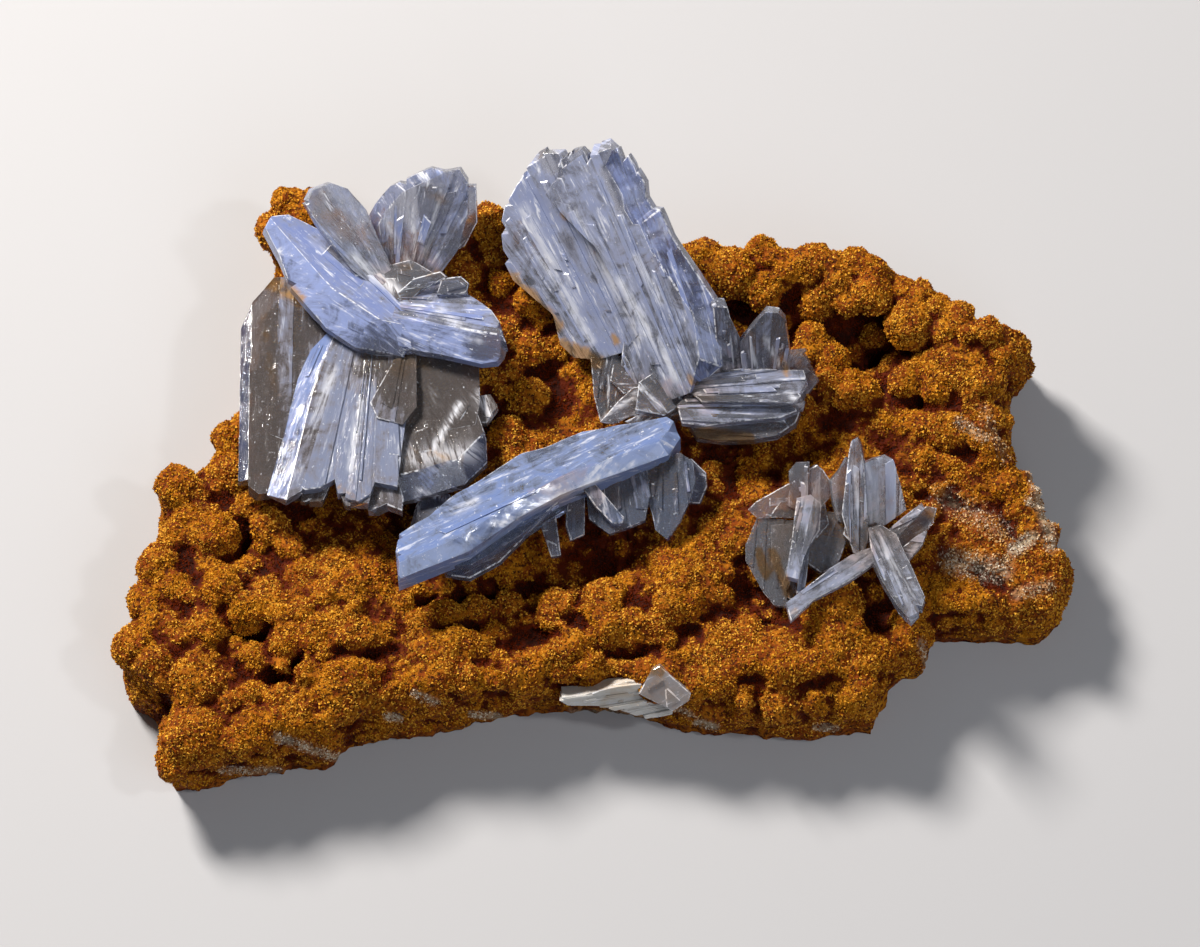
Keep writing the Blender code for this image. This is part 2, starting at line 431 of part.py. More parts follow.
def to_outline(x, y):
    """Distance, in mm, from a point of the plan to the crust's outline: positive inside it."""
    inside = False
    nearest = 1e9
    before = CRUST_OUTLINE[-1]
    for after in CRUST_OUTLINE:
        if (after[1] > y) != (before[1] > y):
            crossing = (before[0] - after[0]) * (y - after[1]) / (before[1] - after[1]) + after[0]
            if x < crossing:
                inside = not inside
        run = (after[0] - before[0], after[1] - before[1])
        share = ((x - before[0]) * run[0] + (y - before[1]) * run[1]) / (run[0] ** 2 + run[1] ** 2)
        share = min(max(share, 0.0), 1.0)
        nearest = min(nearest, math.hypot(x - before[0] - share * run[0], y - before[1] - share * run[1]))
        before = after
    return nearest if inside else -nearest


def ground(x, y):
    """Height of the crust's general surface, in mm, over a point of the plan."""
    height = CRUST_LEVEL
    for right, back, reach, rise in SWELLS:
        height += rise * math.exp(-((x - right) ** 2 + (y - back) ** 2) / (2 * reach ** 2))
    return height


def knob_radius(x, y, dice):
    """Radius of a knob in mm: coarse at the left, middling in the middle, fine at the right."""
    if x > 40:
        return dice.uniform(1.8, 2.6)
    if x < -40:
        return dice.uniform(2.8, 4.2)
    return dice.uniform(2.3, 3.6)


def knobs():
    """Centre and radius, in mm, of every knob of the crust, with the rows along its edge."""
    dice = random.Random(7)
    found = []
    for right, up, radius, height in CHIEF_KNOBS:
        centre = sighted(right, up, height)
        found.append((centre.x, centre.y, height, radius))
    for attempt in range(6000):
        x = dice.uniform(-60, 60)
        y = dice.uniform(-40, 36)
        radius = knob_radius(x, y, dice)
        if to_outline(x, y) < 0.8 * radius:
            continue
        if any(math.hypot(x - knob[0], y - knob[1]) < 0.78 * (radius + knob[3]) for knob in found):
            continue
        found.append((x, y, ground(x, y) - dice.uniform(0.2, 0.75) * radius, radius))
    return found + edge_knobs(dice)


def edge_knobs(dice):
    """Two rows of knobs that bulge out along the outline, the lower one furthest."""
    rows = []
    before = CRUST_OUTLINE[-1]
    for after in CRUST_OUTLINE:
        run = Vector((after[0] - before[0], after[1] - before[1]))
        inward = Vector((-run.y, run.x)).normalized()
        count = max(1, round(run.length / 3.6))
        for step in range(count):
            radius = dice.uniform(2.2, 3.4)
            spot = Vector(before) + run * ((step + 0.5) / count) + inward * radius
            rows.append((spot.x, spot.y, CRUST_WAIST + dice.uniform(-0.8, 0.8), radius))
            spot = spot + inward * dice.uniform(0.4, 1.6)
            top = ground(spot.x, spot.y) - 0.8 * radius
            rows.append((spot.x, spot.y, top - dice.uniform(0.0, 1.0), radius))
        before = after
    return rows


def shrunk_outline(inset):
    """The crust's outline moved inwards by `inset` mm."""
    corners = [Vector(spot) for spot in CRUST_OUTLINE]
    moved = []
    for place, corner in enumerate(corners):
        before = (corner - corners[place - 1]).normalized()
        after = (corners[(place + 1) % len(corners)] - corner).normalized()
        inward = Vector((-before.y - after.y, before.x + after.x)).normalized()
        moved.append(corner + inward * inset)
    return moved


def add_shape(form, shape):
    """Pour one bmesh into another and free it."""
    mesh = bpy.data.meshes.new("shape")
    shape.to_mesh(mesh)
    shape.free()
    form.from_mesh(mesh)
    bpy.data.meshes.remove(mesh)


def mounds():
    """Broad mounds that follow the crust's general surface: centre and radius in mm."""
    radius = 6.0
    spacing = 5.0
    depth = 2.2
    found = []
    for column in range(-12, 13):
        for row in range(-9, 9):
            x = (column + 0.5 * (row % 2)) * spacing
            y = row * spacing * 0.87
            if to_outline(x, y) > radius - 1:
                height = ground(x, y) - radius - depth
                found.append((x, y, height, radius))
                found.append((x, y, max(height - 5, radius - 2), radius))
    return found


def add_balls(form, balls):
    """Add a ball for every centre and radius in mm, a handful at a time."""
    handful = 24
    for first in range(0, len(balls), handful):
        few = bmesh.new()
        for x, y, height, radius in balls[first:first + handful]:
            place = Matrix.Translation(Vector((x, y, height)) * MM)
            bmesh.ops.create_icosphere(few, subdivisions=2, radius=radius * MM, matrix=place)
        add_shape(form, few)


def limonite_crust(collection, cutters):
    """The crust: rock slab, mounds and knobs fused in one skin, its back cut flat and chipped."""
    form = bmesh.new()
    slab = flat_prism(shrunk_outline(BACK_INSET), SLAB_TOP + 3)
    bmesh.ops.translate(slab, verts=slab.verts, vec=(0, 0, SLAB_TOP * MM))
    add_shape(form, slab)
    add_balls(form, mounds() + knobs())
    crust = new_object("limonite_matrix", form, collection)
    fuse = crust.modifiers.new("fused knobs", 'REMESH')
    fuse.mode = 'VOXEL'
    fuse.voxel_size = VOXEL * MM
    fused = finished_form(crust)
    fewer = crust.modifiers.new("fewer faces", 'DECIMATE')
    fewer.ratio = LIMONITE_TRIANGLES / (2 * len(fused.faces))
    fused.free()
    form = finished_form(crust)
    crust.modifiers.clear()
    below = bmesh.ops.bisect_plane(form, geom=form.verts[:] + form.edges[:] + form.faces[:],
                                   plane_co=(0, 0, 0), plane_no=(0, 0, -1), clear_outer=True)
    rim = [item for item in below["geom_cut"] if isinstance(item, bmesh.types.BMEdge)]
    bmesh.ops.edgeloop_fill(form, edges=rim)
    keep_outer_shell(form)
    form.to_mesh(crust.data)
    form.free()
    cut_sockets(crust, cutters)
    return crust


def cut_sockets(crust, cutters):
    """Cut the crystals' sockets and the chips of the back out of the crust."""
    for name, crystals in CLUSTERS.items():
        for number, crystal in enumerate(crystals):
            new_object(f"{name}_socket_{number}", crystal.form(SOCKET_GAP), cutters)
    for number, (x, y, radius, bite) in enumerate(BACK_CHIPS):
        chip = bmesh.new()
        place = Matrix.Translation(Vector((x, y, bite - radius)) * MM)
        place = place @ Matrix.Rotation(CHIP_TURN * (number + 1), 4, 'X')
        place = place @ Matrix.Rotation(CHIP_TURN * number, 4, 'Y')
        bmesh.ops.create_icosphere(chip, subdivisions=3, radius=radius * MM, matrix=place)
        new_object(f"back_chip_{number}", chip, cutters)
    for cutter in cutters.objects:
        cutter.hide_render = True
        cutter.display_type = 'WIRE'
    cut = crust.modifiers.new("sockets", 'BOOLEAN')
    cut.operation = 'DIFFERENCE'
    cut.operand_type = 'COLLECTION'
    cut.collection = cutters
    cut.solver = 'EXACT'
    form = finished_form(crust)
    crust.modifiers.clear()
    tidy(form)
    keep_outer_shell(form)
    form.to_mesh(crust.data)
    form.free()
    empty_collection(cutters)


def empty_collection(collection):
    for thing in list(collection.objects):
        bpy.data.objects.remove(thing)


def grown_together(name, crystals, collection, cutters):
    """One solid of the crystals of a cluster, which grew into each other."""
    body = new_object(name, crystals[0].form(), collection)
    for number, crystal in enumerate(crystals[1:]):
        new_object(f"{name}_blade_{number}", crystal.form(), cutters)
    join = body.modifiers.new("grown together", 'BOOLEAN')
    join.operation = 'UNION'
    join.operand_type = 'COLLECTION'
    join.collection = cutters
    join.solver = 'EXACT'
    form = finished_form(body)
    body.modifiers.clear()
    tidy(form)
    keep_outer_shell(form)
    form.to_mesh(body.data)
    form.free()
    empty_collection(cutters)
    return body


def principled(name, colour, roughness, transmission=0.0):
    """Plain material with a stone's colour and gloss."""
    material = bpy.data.materials.new(name)
    material.use_nodes = True
    shader = material.node_tree.nodes["Principled BSDF"]
    shader.inputs["Base Color"].default_value = (*colour, 1.0)
    shader.inputs["Roughness"].default_value = roughness
    shader.inputs["Metallic"].default_value = 0.0
    shader.inputs["Transmission Weight"].default_value = transmission
    return material


COLOURS = {
    "limonite_matrix": ((0.42, 0.20, 0.02), 0.9, 0.0),
    "upper_left_rosette": ((0.42, 0.49, 0.70), 0.15, 0.5),
    "lower_left_blades": ((0.36, 0.40, 0.53), 0.15, 0.6),
    "centre_rosette": ((0.38, 0.43, 0.60), 0.15, 0.5),
    "long_blade_cluster": ((0.36, 0.46, 0.68), 0.15, 0.5),
    "prism_cluster": ((0.32, 0.35, 0.44), 0.15, 0.6),
    "edge_spar": ((0.62, 0.60, 0.56), 0.4, 0.2)}


def set_on_origin(parts):
    """Hang the parts on an empty, placed so that the origin is under the middle of their box."""
    corners = [corner.co for part in parts for corner in part.data.vertices]
    middle_x = (min(c.x for c in corners) + max(c.x for c in corners)) / 2
    middle_y = (min(c.y for c in corners) + max(c.y for c in corners)) / 2
    lowest = min(c.z for c in corners)
    specimen = bpy.data.objects.new("specimen", None)
    specimen.location = (-middle_x, -middle_y, -lowest)
    parts[0].users_collection[0].objects.link(specimen)
    for part in parts:
        part.parent = specimen


def main():
    clear_scene()
    collection = new_collection("barite_crystal_cluster")
    cutters = new_collection("cutters")
    parts = [limonite_crust(collection, cutters)]
    for name, crystals in CLUSTERS.items():
        parts.append(grown_together(name, crystals, collection, cutters))
    for part in parts:
        part.data.materials.append(principled(part.name, *COLOURS[part.name]))
    set_on_origin(parts)


main()
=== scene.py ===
"""Blue barite crystals on a crust of knobbly limonite, dressed for the render."""
import json
import math
import random

import bmesh
import bpy
import numpy as np
from mathutils import Matrix, Vector, noise

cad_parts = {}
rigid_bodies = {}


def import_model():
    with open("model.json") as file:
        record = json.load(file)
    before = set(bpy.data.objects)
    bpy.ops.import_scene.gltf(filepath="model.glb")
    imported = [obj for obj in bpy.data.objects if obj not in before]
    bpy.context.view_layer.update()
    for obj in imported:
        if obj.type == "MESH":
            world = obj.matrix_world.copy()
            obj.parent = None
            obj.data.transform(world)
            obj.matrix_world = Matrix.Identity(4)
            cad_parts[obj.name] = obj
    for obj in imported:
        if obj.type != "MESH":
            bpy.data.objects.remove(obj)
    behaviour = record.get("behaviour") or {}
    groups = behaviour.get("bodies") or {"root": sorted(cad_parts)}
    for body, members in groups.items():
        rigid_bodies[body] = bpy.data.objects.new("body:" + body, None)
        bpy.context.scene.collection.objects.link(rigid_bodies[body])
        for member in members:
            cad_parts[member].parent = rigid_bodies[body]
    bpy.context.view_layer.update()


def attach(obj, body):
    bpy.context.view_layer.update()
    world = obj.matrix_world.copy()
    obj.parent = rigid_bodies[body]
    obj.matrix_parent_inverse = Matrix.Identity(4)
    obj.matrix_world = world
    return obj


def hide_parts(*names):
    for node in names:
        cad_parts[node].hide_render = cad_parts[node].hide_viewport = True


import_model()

MM = 0.001

# The layout that the solids follow: the eye meets the specimen from the front, VIEW_ELEVATION above
# the table, and `right` and `up` run across that view in millimetres. Heights are measured from the back.
VIEW_ELEVATION = math.radians(70)
SIGHT_RISE = math.sin(VIEW_ELEVATION)
SIGHT_LEAN = math.cos(VIEW_ELEVATION) / math.sin(VIEW_ELEVATION)
CRUST_LEVEL = 12.0

# The limonite's driving sizes, in millimetres. Its real dust is finer than a picture shows, so the loose
# grains are drawn coarser.
CRUST_WAIST = 6.0  # height of the lower row of knobs, where the edge bulges furthest
EDGE_FALL = 4.0  # how far inside the outline the rock starts to fall away
CLEFT_SHARE = 0.7  # share of their depth that the clefts are open
BASE_DROP = 0.6  # depth of the rock under the general surface
STANDING_DROP = 1.7  # how much deeper the rock lies for each unit by which knobs stand out
ROCK_SCALE = 9.0  # distance over which the rock's height wanders
ROCK_RISE = 1.9  # and by how much
VOXEL = 0.36  # step of the skin over rock and knobs
GRAINS_PER_MM2 = 19
GRAIN_RADIUS = 0.16
HEAP = 2.2  # distance from one heap of grains to the next
GRAIN_FIELDS = ((-70, -22), (-22, 14), (14, 70))  # left and right end of each field of grains
LIMONITE_TRIANGLES = 190000

# How deep a knob is sunk, as a share of its radius: where knobs stand out, and how much more elsewhere.
SUNK_LEAST = 0.08
SUNK_MORE = 0.42

# Slight ripples of the crystals' faces: height and length, in mm, of each kind.
RIPPLES = ((0.035, 0.9), (0.05, 2.4))
LONGEST_EDGE = 1.15  # mm, of a rippled face

# Barite's growth grain, in patterns to the millimetre along and across: feathers about 6 mm long and
# 1 mm wide, and fibres about 1.7 mm long and 0.25 mm wide.
FEATHER_GRAIN = (0.16, 1.1, 1.0)
FIBRE_GRAIN = (0.6, 4.0, 1.0)

# Kinds of nodes, and settings of those that work out numbers.
MATH = "ShaderNodeMath"
RANGE = "ShaderNodeMapRange"
NOISE = "ShaderNodeTexNoise"
PLUS, LESS, TIMES, LARGER = [{"operation": name} for name in ('ADD', 'SUBTRACT', 'MULTIPLY', 'MAXIMUM')]
SMOOTHLY = {"interpolation_type": 'SMOOTHSTEP'}

# Outline of the limonite in plan, from its back left corner, anticlockwise.
CRUST_OUTLINE = [
    (-42, 37), (-41, 27), (-45, 11), (-47, 8), (-49.5, 3.5), (-54.5, -0.5), (-55.5, -5.5), (-55, -9.5),
    (-57.5, -13), (-59.5, -20), (-60, -23.5), (-58.5, -27), (-54.5, -30), (-55, -33), (-53.5, -38),
    (-51.5, -38.5), (-46, -36.7), (-38.5, -35.4), (-33.5, -35.2), (-31, -32.3), (-20, -30.4), (-6, -27.5),
    (0, -27.5), (6.5, -29.2), (12.5, -30.5), (22.5, -31.2), (34, -30.8), (36.5, -24.5), (40.5, -22.5),
    (42, -18.5), (50, -18.5), (55, -18.5), (57.5, -16.5), (59.6, -11), (57.5, -7.2), (55, -0.5),
    (52.6, 3), (51.6, 9.5), (52, 13.5), (54, 16), (53.8, 18.8), (48, 20.6), (43, 24.4), (38, 27.4),
    (33, 30.2), (25, 30.4), (17.5, 30.6), (10, 31), (-9, 33.6), (-14.5, 34.4), (-20, 33), (-28, 34),
    (-35, 36.4)]

# Swells and hollows of the crust: right, back, reach and rise.
SWELLS = [
    (-38.5, 35, 3.0, 2.0), (-14.5, 31.5, 3.2, 3.0), (12, 29, 3.4, 3.5), (19, 27.8, 3.4, 3.6),
    (26, 27.2, 3.4, 3.6), (33, 26.8, 3.4, 3.6), (40, 22.6, 3.4, 3.6), (48, 17.6, 3.6, 3.4),
    (27, 11.5, 4.0, 1.5), (46, 12, 5.0, 2.0), (-9, 24.5, 3.5, 2.5), (-52, -22, 6.0, 1.5),
    (28.5, -19, 5.0, 2.4), (-4, -20, 4.0, 1.2), (12, -12, 6.0, 1.2), (33.5, 17, 4.2, -5.5),
    (-6, 12, 5.0, -2.5), (0, -9.5, 4.6, -4.5), (-10, -14, 5.0, -2.5), (17, 5, 5.0, -3.0),
    (21, -15.5, 3.2, -4.0), (36, -15, 2.8, -6.0), (-45, -21, 2.2, -3.0), (-34, -5, 5.0, -2.0),
    (50, -6, 6.0, -1.5), (55, -14, 4.0, -1.0), (-18, 8, 4.0, -2.5), (-22, -4, 3.2, -3.5),
    (-33, -14.4, 4.2, 2.4), (-42, -17.6, 3.0, 1.8), (-34, -22.6, 3.6, 1.8), (-32.5, -28, 4.0, 1.2),
    (-18, -24, 4.0, 1.6), (2, -19, 3.2, 2.2), (7.6, -19.5, 3.0, 2.0), (22.5, -25.6, 2.6, 1.4),
    (43, 13, 4.4, 2.0)]

# Clefts between the lumps: from one point of the plan to another, with half width and depth.
CLEFTS = [
    (-37.5, -24.8, -25.6, -23.6, 0.8, 4.5), (-48, -11.6, -43.8, -8.2, 0.8, 3.5),
    (-45, -20.4, -42.2, -20.9, 1.2, 3.5), (-56.2, -19, -50, -18, 0.7, 3.0),
    (-44, -24.8, -39.4, -27.2, 0.8, 3.5), (-48.5, -37, -44, -34.4, 0.6, 2.0),
    (-22.5, -16.4, -7.5, -13.4, 1.6, 3.0), (-7.5, -13.4, -3.8, -16.6, 1.4, 3.0),
    (-20, -20, -12.5, -19.6, 0.9, 3.5), (-11.2, -21.3, -6.2, -21.3, 1.1, 4.0),
    (-3.8, -18.8, 0, -23.3, 1.0, 4.5), (0, -23.3, 6.9, -24, 1.0, 4.5),
    (9.4, -19.4, 11.2, -21.3, 1.3, 3.5), (18.1, -27.3, 25, -28, 0.9, 4.0),
    (25, -28, 28.8, -27.6, 0.9, 4.0), (13, -18.6, 23.8, -19.4, 1.0, 2.5),
    (32.5, -16.6, 35.6, -20.6, 1.6, 3.0), (35, 17, 45, 17.4, 1.0, 4.0), (38, 9.8, 43.8, 9.2, 1.0, 3.0),
    (12.5, 23, 22.5, 20.4, 1.2, 3.5), (47, -12, 51, -15.5, 0.8, 2.5), (40, -2, 47, -4, 0.6, 2.0),
    (41, 4, 47, 2.4, 0.6, 2.5)]

# Knobs that stand out by themselves: right and up in the view, radius and height of the centre.
CHIEF_KNOBS = [
    (16.5, 25, 3.4, 14.5), (20.5, 22.8, 2.9, 14.0), (-14.3, 31.2, 3.0, 13.5), (-8.7, 16, 3.0, 9.5),
    (-8.5, 9.2, 3.0, 9.0), (-11.5, 4.4, 2.9, 10.5), (27, 15.4, 2.8, 12.5), (31.5, 10.4, 3.0, 12.0),
    (25.2, 7.5, 2.7, 11.5), (28.7, -16.2, 4.4, 11.5), (28.2, -20.2, 4.0, 9.6), (21, -22.3, 3.2, 9.5),
    (-3, -21.2, 2.9, 11.5), (-52.5, -2, 3.2, 10.5), (-46.5, -0.8, 3.6, 9.5), (-48.4, -7.8, 3.9, 10.0),
    (-55, -11.8, 3.0, 10.0), (-56.4, -15.8, 2.8, 9.5), (-52.4, -14.6, 2.7, 10.5),
    (-47.2, -14.2, 2.9, 12.0), (-53, -19.4, 3.0, 10.0), (-49.3, -19.4, 3.2, 10.5), (-57, -22, 3.7, 8.6),
    (-50, -26, 4.5, 9.6), (-46.6, -28.6, 2.3, 10.0), (-43.2, -27.4, 2.3, 10.2), (-49.2, -32.3, 4.3, 9.0),
    (-42, -32.4, 2.5, 9.4), (-53, -36, 2.6, 8.0), (-31.9, -28.3, 2.8, 11.0), (-36.9, -30.2, 2.8, 10.0),
    (39, 18.7, 3.2, 14.0), (43.5, 17.5, 2.6, 13.5), (34, 22.5, 2.6, 14.5), (-33, -11.5, 3.0, 11.0),
    (-39.6, 34.4, 2.0, 12.0), (-36.6, 34.2, 1.9, 12.0), (-41.2, -6.6, 2.6, 11.2),
    (-38.6, -9.4, 2.2, 11.0), (-25, -15.8, 2.1, 10.6), (-22.6, -19.4, 3.1, 10.2),
    (-19.8, -17.2, 2.0, 10.6), (-15.4, -17, 2.2, 9.6), (-11.4, -16.4, 2.0, 9.4), (-5.4, -16.9, 3.0, 10.4),
    (0.8, -16, 3.2, 11.6), (4.4, -18.6, 2.8, 12.0), (8.4, -16.6, 2.8, 12.4), (11.4, -15.6, 2.6, 11.8),
    (-1, -24.2, 2.3, 9.6), (15, -15.8, 2.4, 10.0), (14.4, -19, 2.2, 10.0), (18.2, -19.4, 2.2, 10.0),
    (11.4, -22.2, 2.9, 10.4), (14.6, -23, 2.5, 10.0), (17.8, -22.8, 2.6, 10.2), (23, -24.2, 3.4, 10.4),
    (17.4, -27, 2.6, 9.2), (22.4, -28.4, 2.8, 8.8), (26.6, -27.8, 2.5, 9.0), (31, -27.2, 3.4, 8.6),
    (34.6, -22.4, 2.8, 9.4), (28.8, 14.4, 2.5, 12.6), (28.6, 11.8, 2.4, 12.6), (32.6, 10.2, 2.6, 11.8),
    (26.6, 17.2, 2.2, 13.0), (31, 21.4, 1.8, 13.4), (38.4, 11.6, 2.4, 12.4), (42.2, 13.4, 2.8, 12.2),
    (47, 13.8, 2.8, 12.4), (45, 10.6, 2.0, 12.0)]

# Strokes of colour over the crystals in the layout view: start, end, half width and strength.
RUST_STAINS = [
    (-21.6, 35.5, -19.6, 34.2, 1.2, 0.55), (-26.4, 31.3, -25.8, 30.9, 0.7, 0.5),
    (-24.8, 26.2, -19.6, 24.8, 1.2, 0.55), (-41.4, 24.2, -38, 22, 1.4, 0.8),
    (-42.5, 20, -40.5, 10, 1.0, 0.5), (-11.2, 23.8, -6, 18.4, 1.7, 1.1), (-5.6, 16.2, -0.4, 14, 1.3, 1.0),
    (-4.6, 32.6, -4, 32, 0.8, 0.6), (1.7, 17.2, 2.2, 16.4, 0.8, 0.7), (11, 12.2, 11.6, 11.4, 0.8, 0.7),
    (12.5, 5, 18.6, 4.3, 1.0, 1.1), (19.8, -9.8, 20.8, -12.8, 0.7, 1.2),
    (21.4, -10, 23.4, -14.8, 0.8, 1.0), (5, -24.8, 7.4, -24.4, 1.0, 0.9), (0, 13, 1, 8, 1.4, 0.5),
    (-24, 2.4, -16.4, 2, 1.6, 0.45), (41, -4.4, 41.6, -5.6, 0.8, 0.7), (-33, -1.2, -30, -3.6, 0.8, 0.5),
    (24.4, -17, 23.6, -17.6, 0.8, 0.6), (22.6, 14.5, 23.4, 12.5, 0.7, 0.6)]
# White feathers along the crystals' growth, with painted glints and painted bright rims among them.
WHITE_FEATHERS_AND_GLINTS = [
    (-30.8, 27, -25.4, 22.8, 0.8, 1.1), (-24, 26.5, -27.4, 32.5, 0.5, 0.8),
    (-23, 27, -23.8, 34, 0.45, 0.8), (-22, 27, -20, 35.6, 0.45, 0.8), (-20.9, 3, -17.5, 8.6, 0.5, 1.1),
    (-14.9, 9.6, -13.2, 7, 1.0, 1.1), (3, 6.7, 6.2, 7.8, 0.45, 1.1), (0, 6.7, 5.6, 10.8, 0.35, 1.0),
    (23.7, 9.9, 25.4, 8.4, 0.6, 1.0), (18.5, 16.8, 19.4, 13.6, 0.4, 1.0),
    (20.6, 16.8, 22.4, 13.6, 0.4, 1.0), (-23.5, -6.4, -22.5, -2.3, 0.35, 1.0),
    (-22.7, -2, -18.8, -3.2, 0.35, 1.0), (-23.5, 2, -16, 2.6, 1.6, 0.8), (-9.5, 33, -3, 21, 0.7, 0.7),
    (-3.4, 33, 5, 17, 0.6, 0.7), (2.6, 24, 9.5, 12, 0.7, 0.8), (-8, 28, -1, 16.5, 0.5, 0.7),
    (4.4, 27, 7.6, 21.4, 0.5, 0.7), (-16, -8, 4, 1.2, 0.35, 0.9), (-18, -4.6, -15.4, -3.4, 0.5, 0.8),
    (-33.4, 13, -36, 5, 0.6, 0.7), (-30, 9, -31, 0.5, 0.5, 0.7), (19, 0.4, 24, 0.2, 0.4, 0.5),
    (31.4, 2, 32.4, -4.4, 0.5, 0.7), (35.2, -9.4, 38.6, -15, 0.6, 0.6), (-20, 20.4, -15, 16.6, 0.6, 0.7),
    (-36, 29.2, -28, 23.8, 0.4, 0.5)]

# Whitish crust on the limonite, in the same terms.
PALE_CRUST = [
    (53.5, -3.4, 56, -4.6, 0.8, 1.0), (54, -8, 51.6, -9.5, 1.3, 1.0), (45, 6.4, 48, 4.6, 1.2, 0.8),
    (-40, -32.6, -31.4, -36, 1.0, 0.9), (-47, -37, -40, -37, 0.9, 0.8),
    (-26.4, -30.2, -25, -30.4, 0.8, 1.0), (-23, -27.2, -20.4, -28.4, 0.8, 0.9),
    (-16, -30, -12.6, -30.4, 0.7, 1.0), (12.2, -31, 14.4, -31.6, 0.8, 1.0),
    (27, -31.6, 29.4, -31.8, 0.8, 0.9), (40, -21, 41, -24.4, 0.9, 0.8), (-3.4, -30, 6, -30.4, 1.2, 0.8),
    (44, -11, 50, -12, 2.6, 0.8), (52, -15, 56, -14, 1.6, 0.7), (9.4, -29.2, 11.4, -30, 0.8, 0.8),
    (43, -3, 50, -7, 3.0, 0.6), (54.4, 0, 56.4, -9, 1.4, 0.9), (48, 8, 50.6, 2, 1.6, 0.6)]

# Clear places of the crystals, with no milk, in the same terms.
CLEAR_WINDOWS = [
    (-26.2, 34.7, -21.4, 34.4, 1.3, 1.0), (-15.2, 16, -12.2, 15.6, 1.4, 0.9),
    (-6.6, 39.8, -5.8, 38.4, 0.9, 1.0), (0, 13, 1, 8, 1.8, 0.8), (-28, 14, -18.6, 8, 3.0, 0.8),
    (-34, 33, -31, 29.6, 0.8, 0.6), (-43, 20, -41, 2, 2.0, 0.7), (0.6, 37.6, 2.6, 33, 0.6, 0.7),
    (20, -7, 24, -8, 1.6, 0.8)]


def sighted(right, up, height):
    """Point at `height`, in mm, that the eye sees at `right` and `up` in the layout view."""
    return Vector((right, up / SIGHT_RISE - (height - CRUST_LEVEL) * SIGHT_LEAN, height))


def new_piece(name, form, shift):
    """Object in the frame's place that holds a bmesh drawn in the layout, in metres."""
    bmesh.ops.translate(form, verts=form.verts, vec=shift)
    mesh = bpy.data.meshes.new(name)
    form.to_mesh(mesh)
    form.free()
    thing = bpy.data.objects.new(name, mesh)
    bpy.context.scene.collection.objects.link(thing)
    return thing


def carry_out(thing):
    """Make an object's modifiers part of its mesh."""
    bpy.context.view_layer.update()
    depsgraph = bpy.context.evaluated_depsgraph_get()
    mesh = bpy.data.meshes.new_from_object(thing.evaluated_get(depsgraph))
    thing.modifiers.clear()
    thing.data = mesh


def prism(outline, low, high):
    """Bmesh of a flat outline in mm, drawn out from z = low to z = high."""
    form = bmesh.new()
    corners = [form.verts.new((x * MM, y * MM, low * MM)) for x, y in outline]
    floor = form.faces.new(corners)
    drawn = bmesh.ops.extrude_face_region(form, geom=[floor])
    lifted = [item for item in drawn["geom"] if isinstance(item, bmesh.types.BMVert)]
    bmesh.ops.translate(form, verts=lifted, vec=(0, 0, (high - low) * MM))
    bmesh.ops.recalc_face_normals(form, faces=form.faces)
    return form


def cut_away(form, point, normal):
    """Cut off what lies on the normal's side of a plane, in mm, and close the cut; gives the new faces."""
    everything = form.verts[:] + form.edges[:] + form.faces[:]
    found = bmesh.ops.bisect_plane(form, geom=everything, plane_co=point * MM, plane_no=normal,
                                   clear_outer=True)
    rim = [item for item in found["geom_cut"] if isinstance(item, bmesh.types.BMEdge)]
    if not rim:
        return []
    return bmesh.ops.edgeloop_fill(form, edges=rim)["faces"]


# The crust.

def strokes(x, y, list_of_strokes):
    """Height at points of a plan of soft strokes: start, end, half width and height of each."""
    found = np.zeros(np.shape(x))
    for start_x, start_y, end_x, end_y, reach, rise in list_of_strokes:
        run = (end_x - start_x, end_y - start_y)
        share = ((x - start_x) * run[0] + (y - start_y) * run[1]) / (run[0] ** 2 + run[1] ** 2)
        share = np.clip(share, 0, 1)
        apart = np.hypot(x - start_x - share * run[0], y - start_y - share * run[1])
        found = np.maximum(found, rise * np.exp(-(apart / reach) ** 2))
    return found


def to_outline(x, y):
    """Distance, in mm, from points of the plan to the crust's outline: positive inside it."""
    inside = np.zeros(np.shape(x), dtype=bool)
    nearest = np.full(np.shape(x), 1e9)
    for before, after in zip(CRUST_OUTLINE[-1:] + CRUST_OUTLINE, CRUST_OUTLINE):
        run = (after[0] - before[0], after[1] - before[1])
        astride = (after[1] > y) != (before[1] > y)
        crossing = (y - after[1]) * run[0] / (run[1] or 1e-9) + after[0]
        inside ^= astride & (x < crossing)
        share = ((x - before[0]) * run[0] + (y - before[1]) * run[1]) / (run[0] ** 2 + run[1] ** 2)
        share = np.clip(share, 0, 1)
        apart = np.hypot(x - before[0] - share * run[0], y - before[1] - share * run[1])
        nearest = np.minimum(nearest, apart)
    return np.where(inside, nearest, -nearest)


def ground(x, y):
    """Height of the crust's general surface, in mm, over points of the plan."""
    height = CRUST_LEVEL - CLEFT_SHARE * strokes(x, y, CLEFTS)
    for right, back, reach, rise in SWELLS:
        height = height + rise * np.exp(-((x - right) ** 2 + (y - back) ** 2) / (2 * reach ** 2))
    return height


def sinking(x, y):
    """Share of its radius by which a knob is sunk: knobs stand out at the left and at the back right."""
    left_end, back_start = -38, 16
    left = 1 / (1 + math.exp((x - left_end) / 4))
    back = 1 / (1 + math.exp((back_start - y) / 3))
    return SUNK_MORE * (1 - max(left, back)) + SUNK_LEAST


def knob_radius(x, dice):
    """Radius of a knob in mm: coarse at the left, of all sizes in the middle, fine at the right."""
    smallest, largest = (1.4, 2.8) if x > 40 else (2.2, 4.0) if x < -40 else (1.9, 4.0)
    return dice.uniform(smallest, largest)


def bud_radius(x, dice):
    """Radius of a small knob in mm, the same everywhere."""
    return dice.uniform(0.9, 1.6)


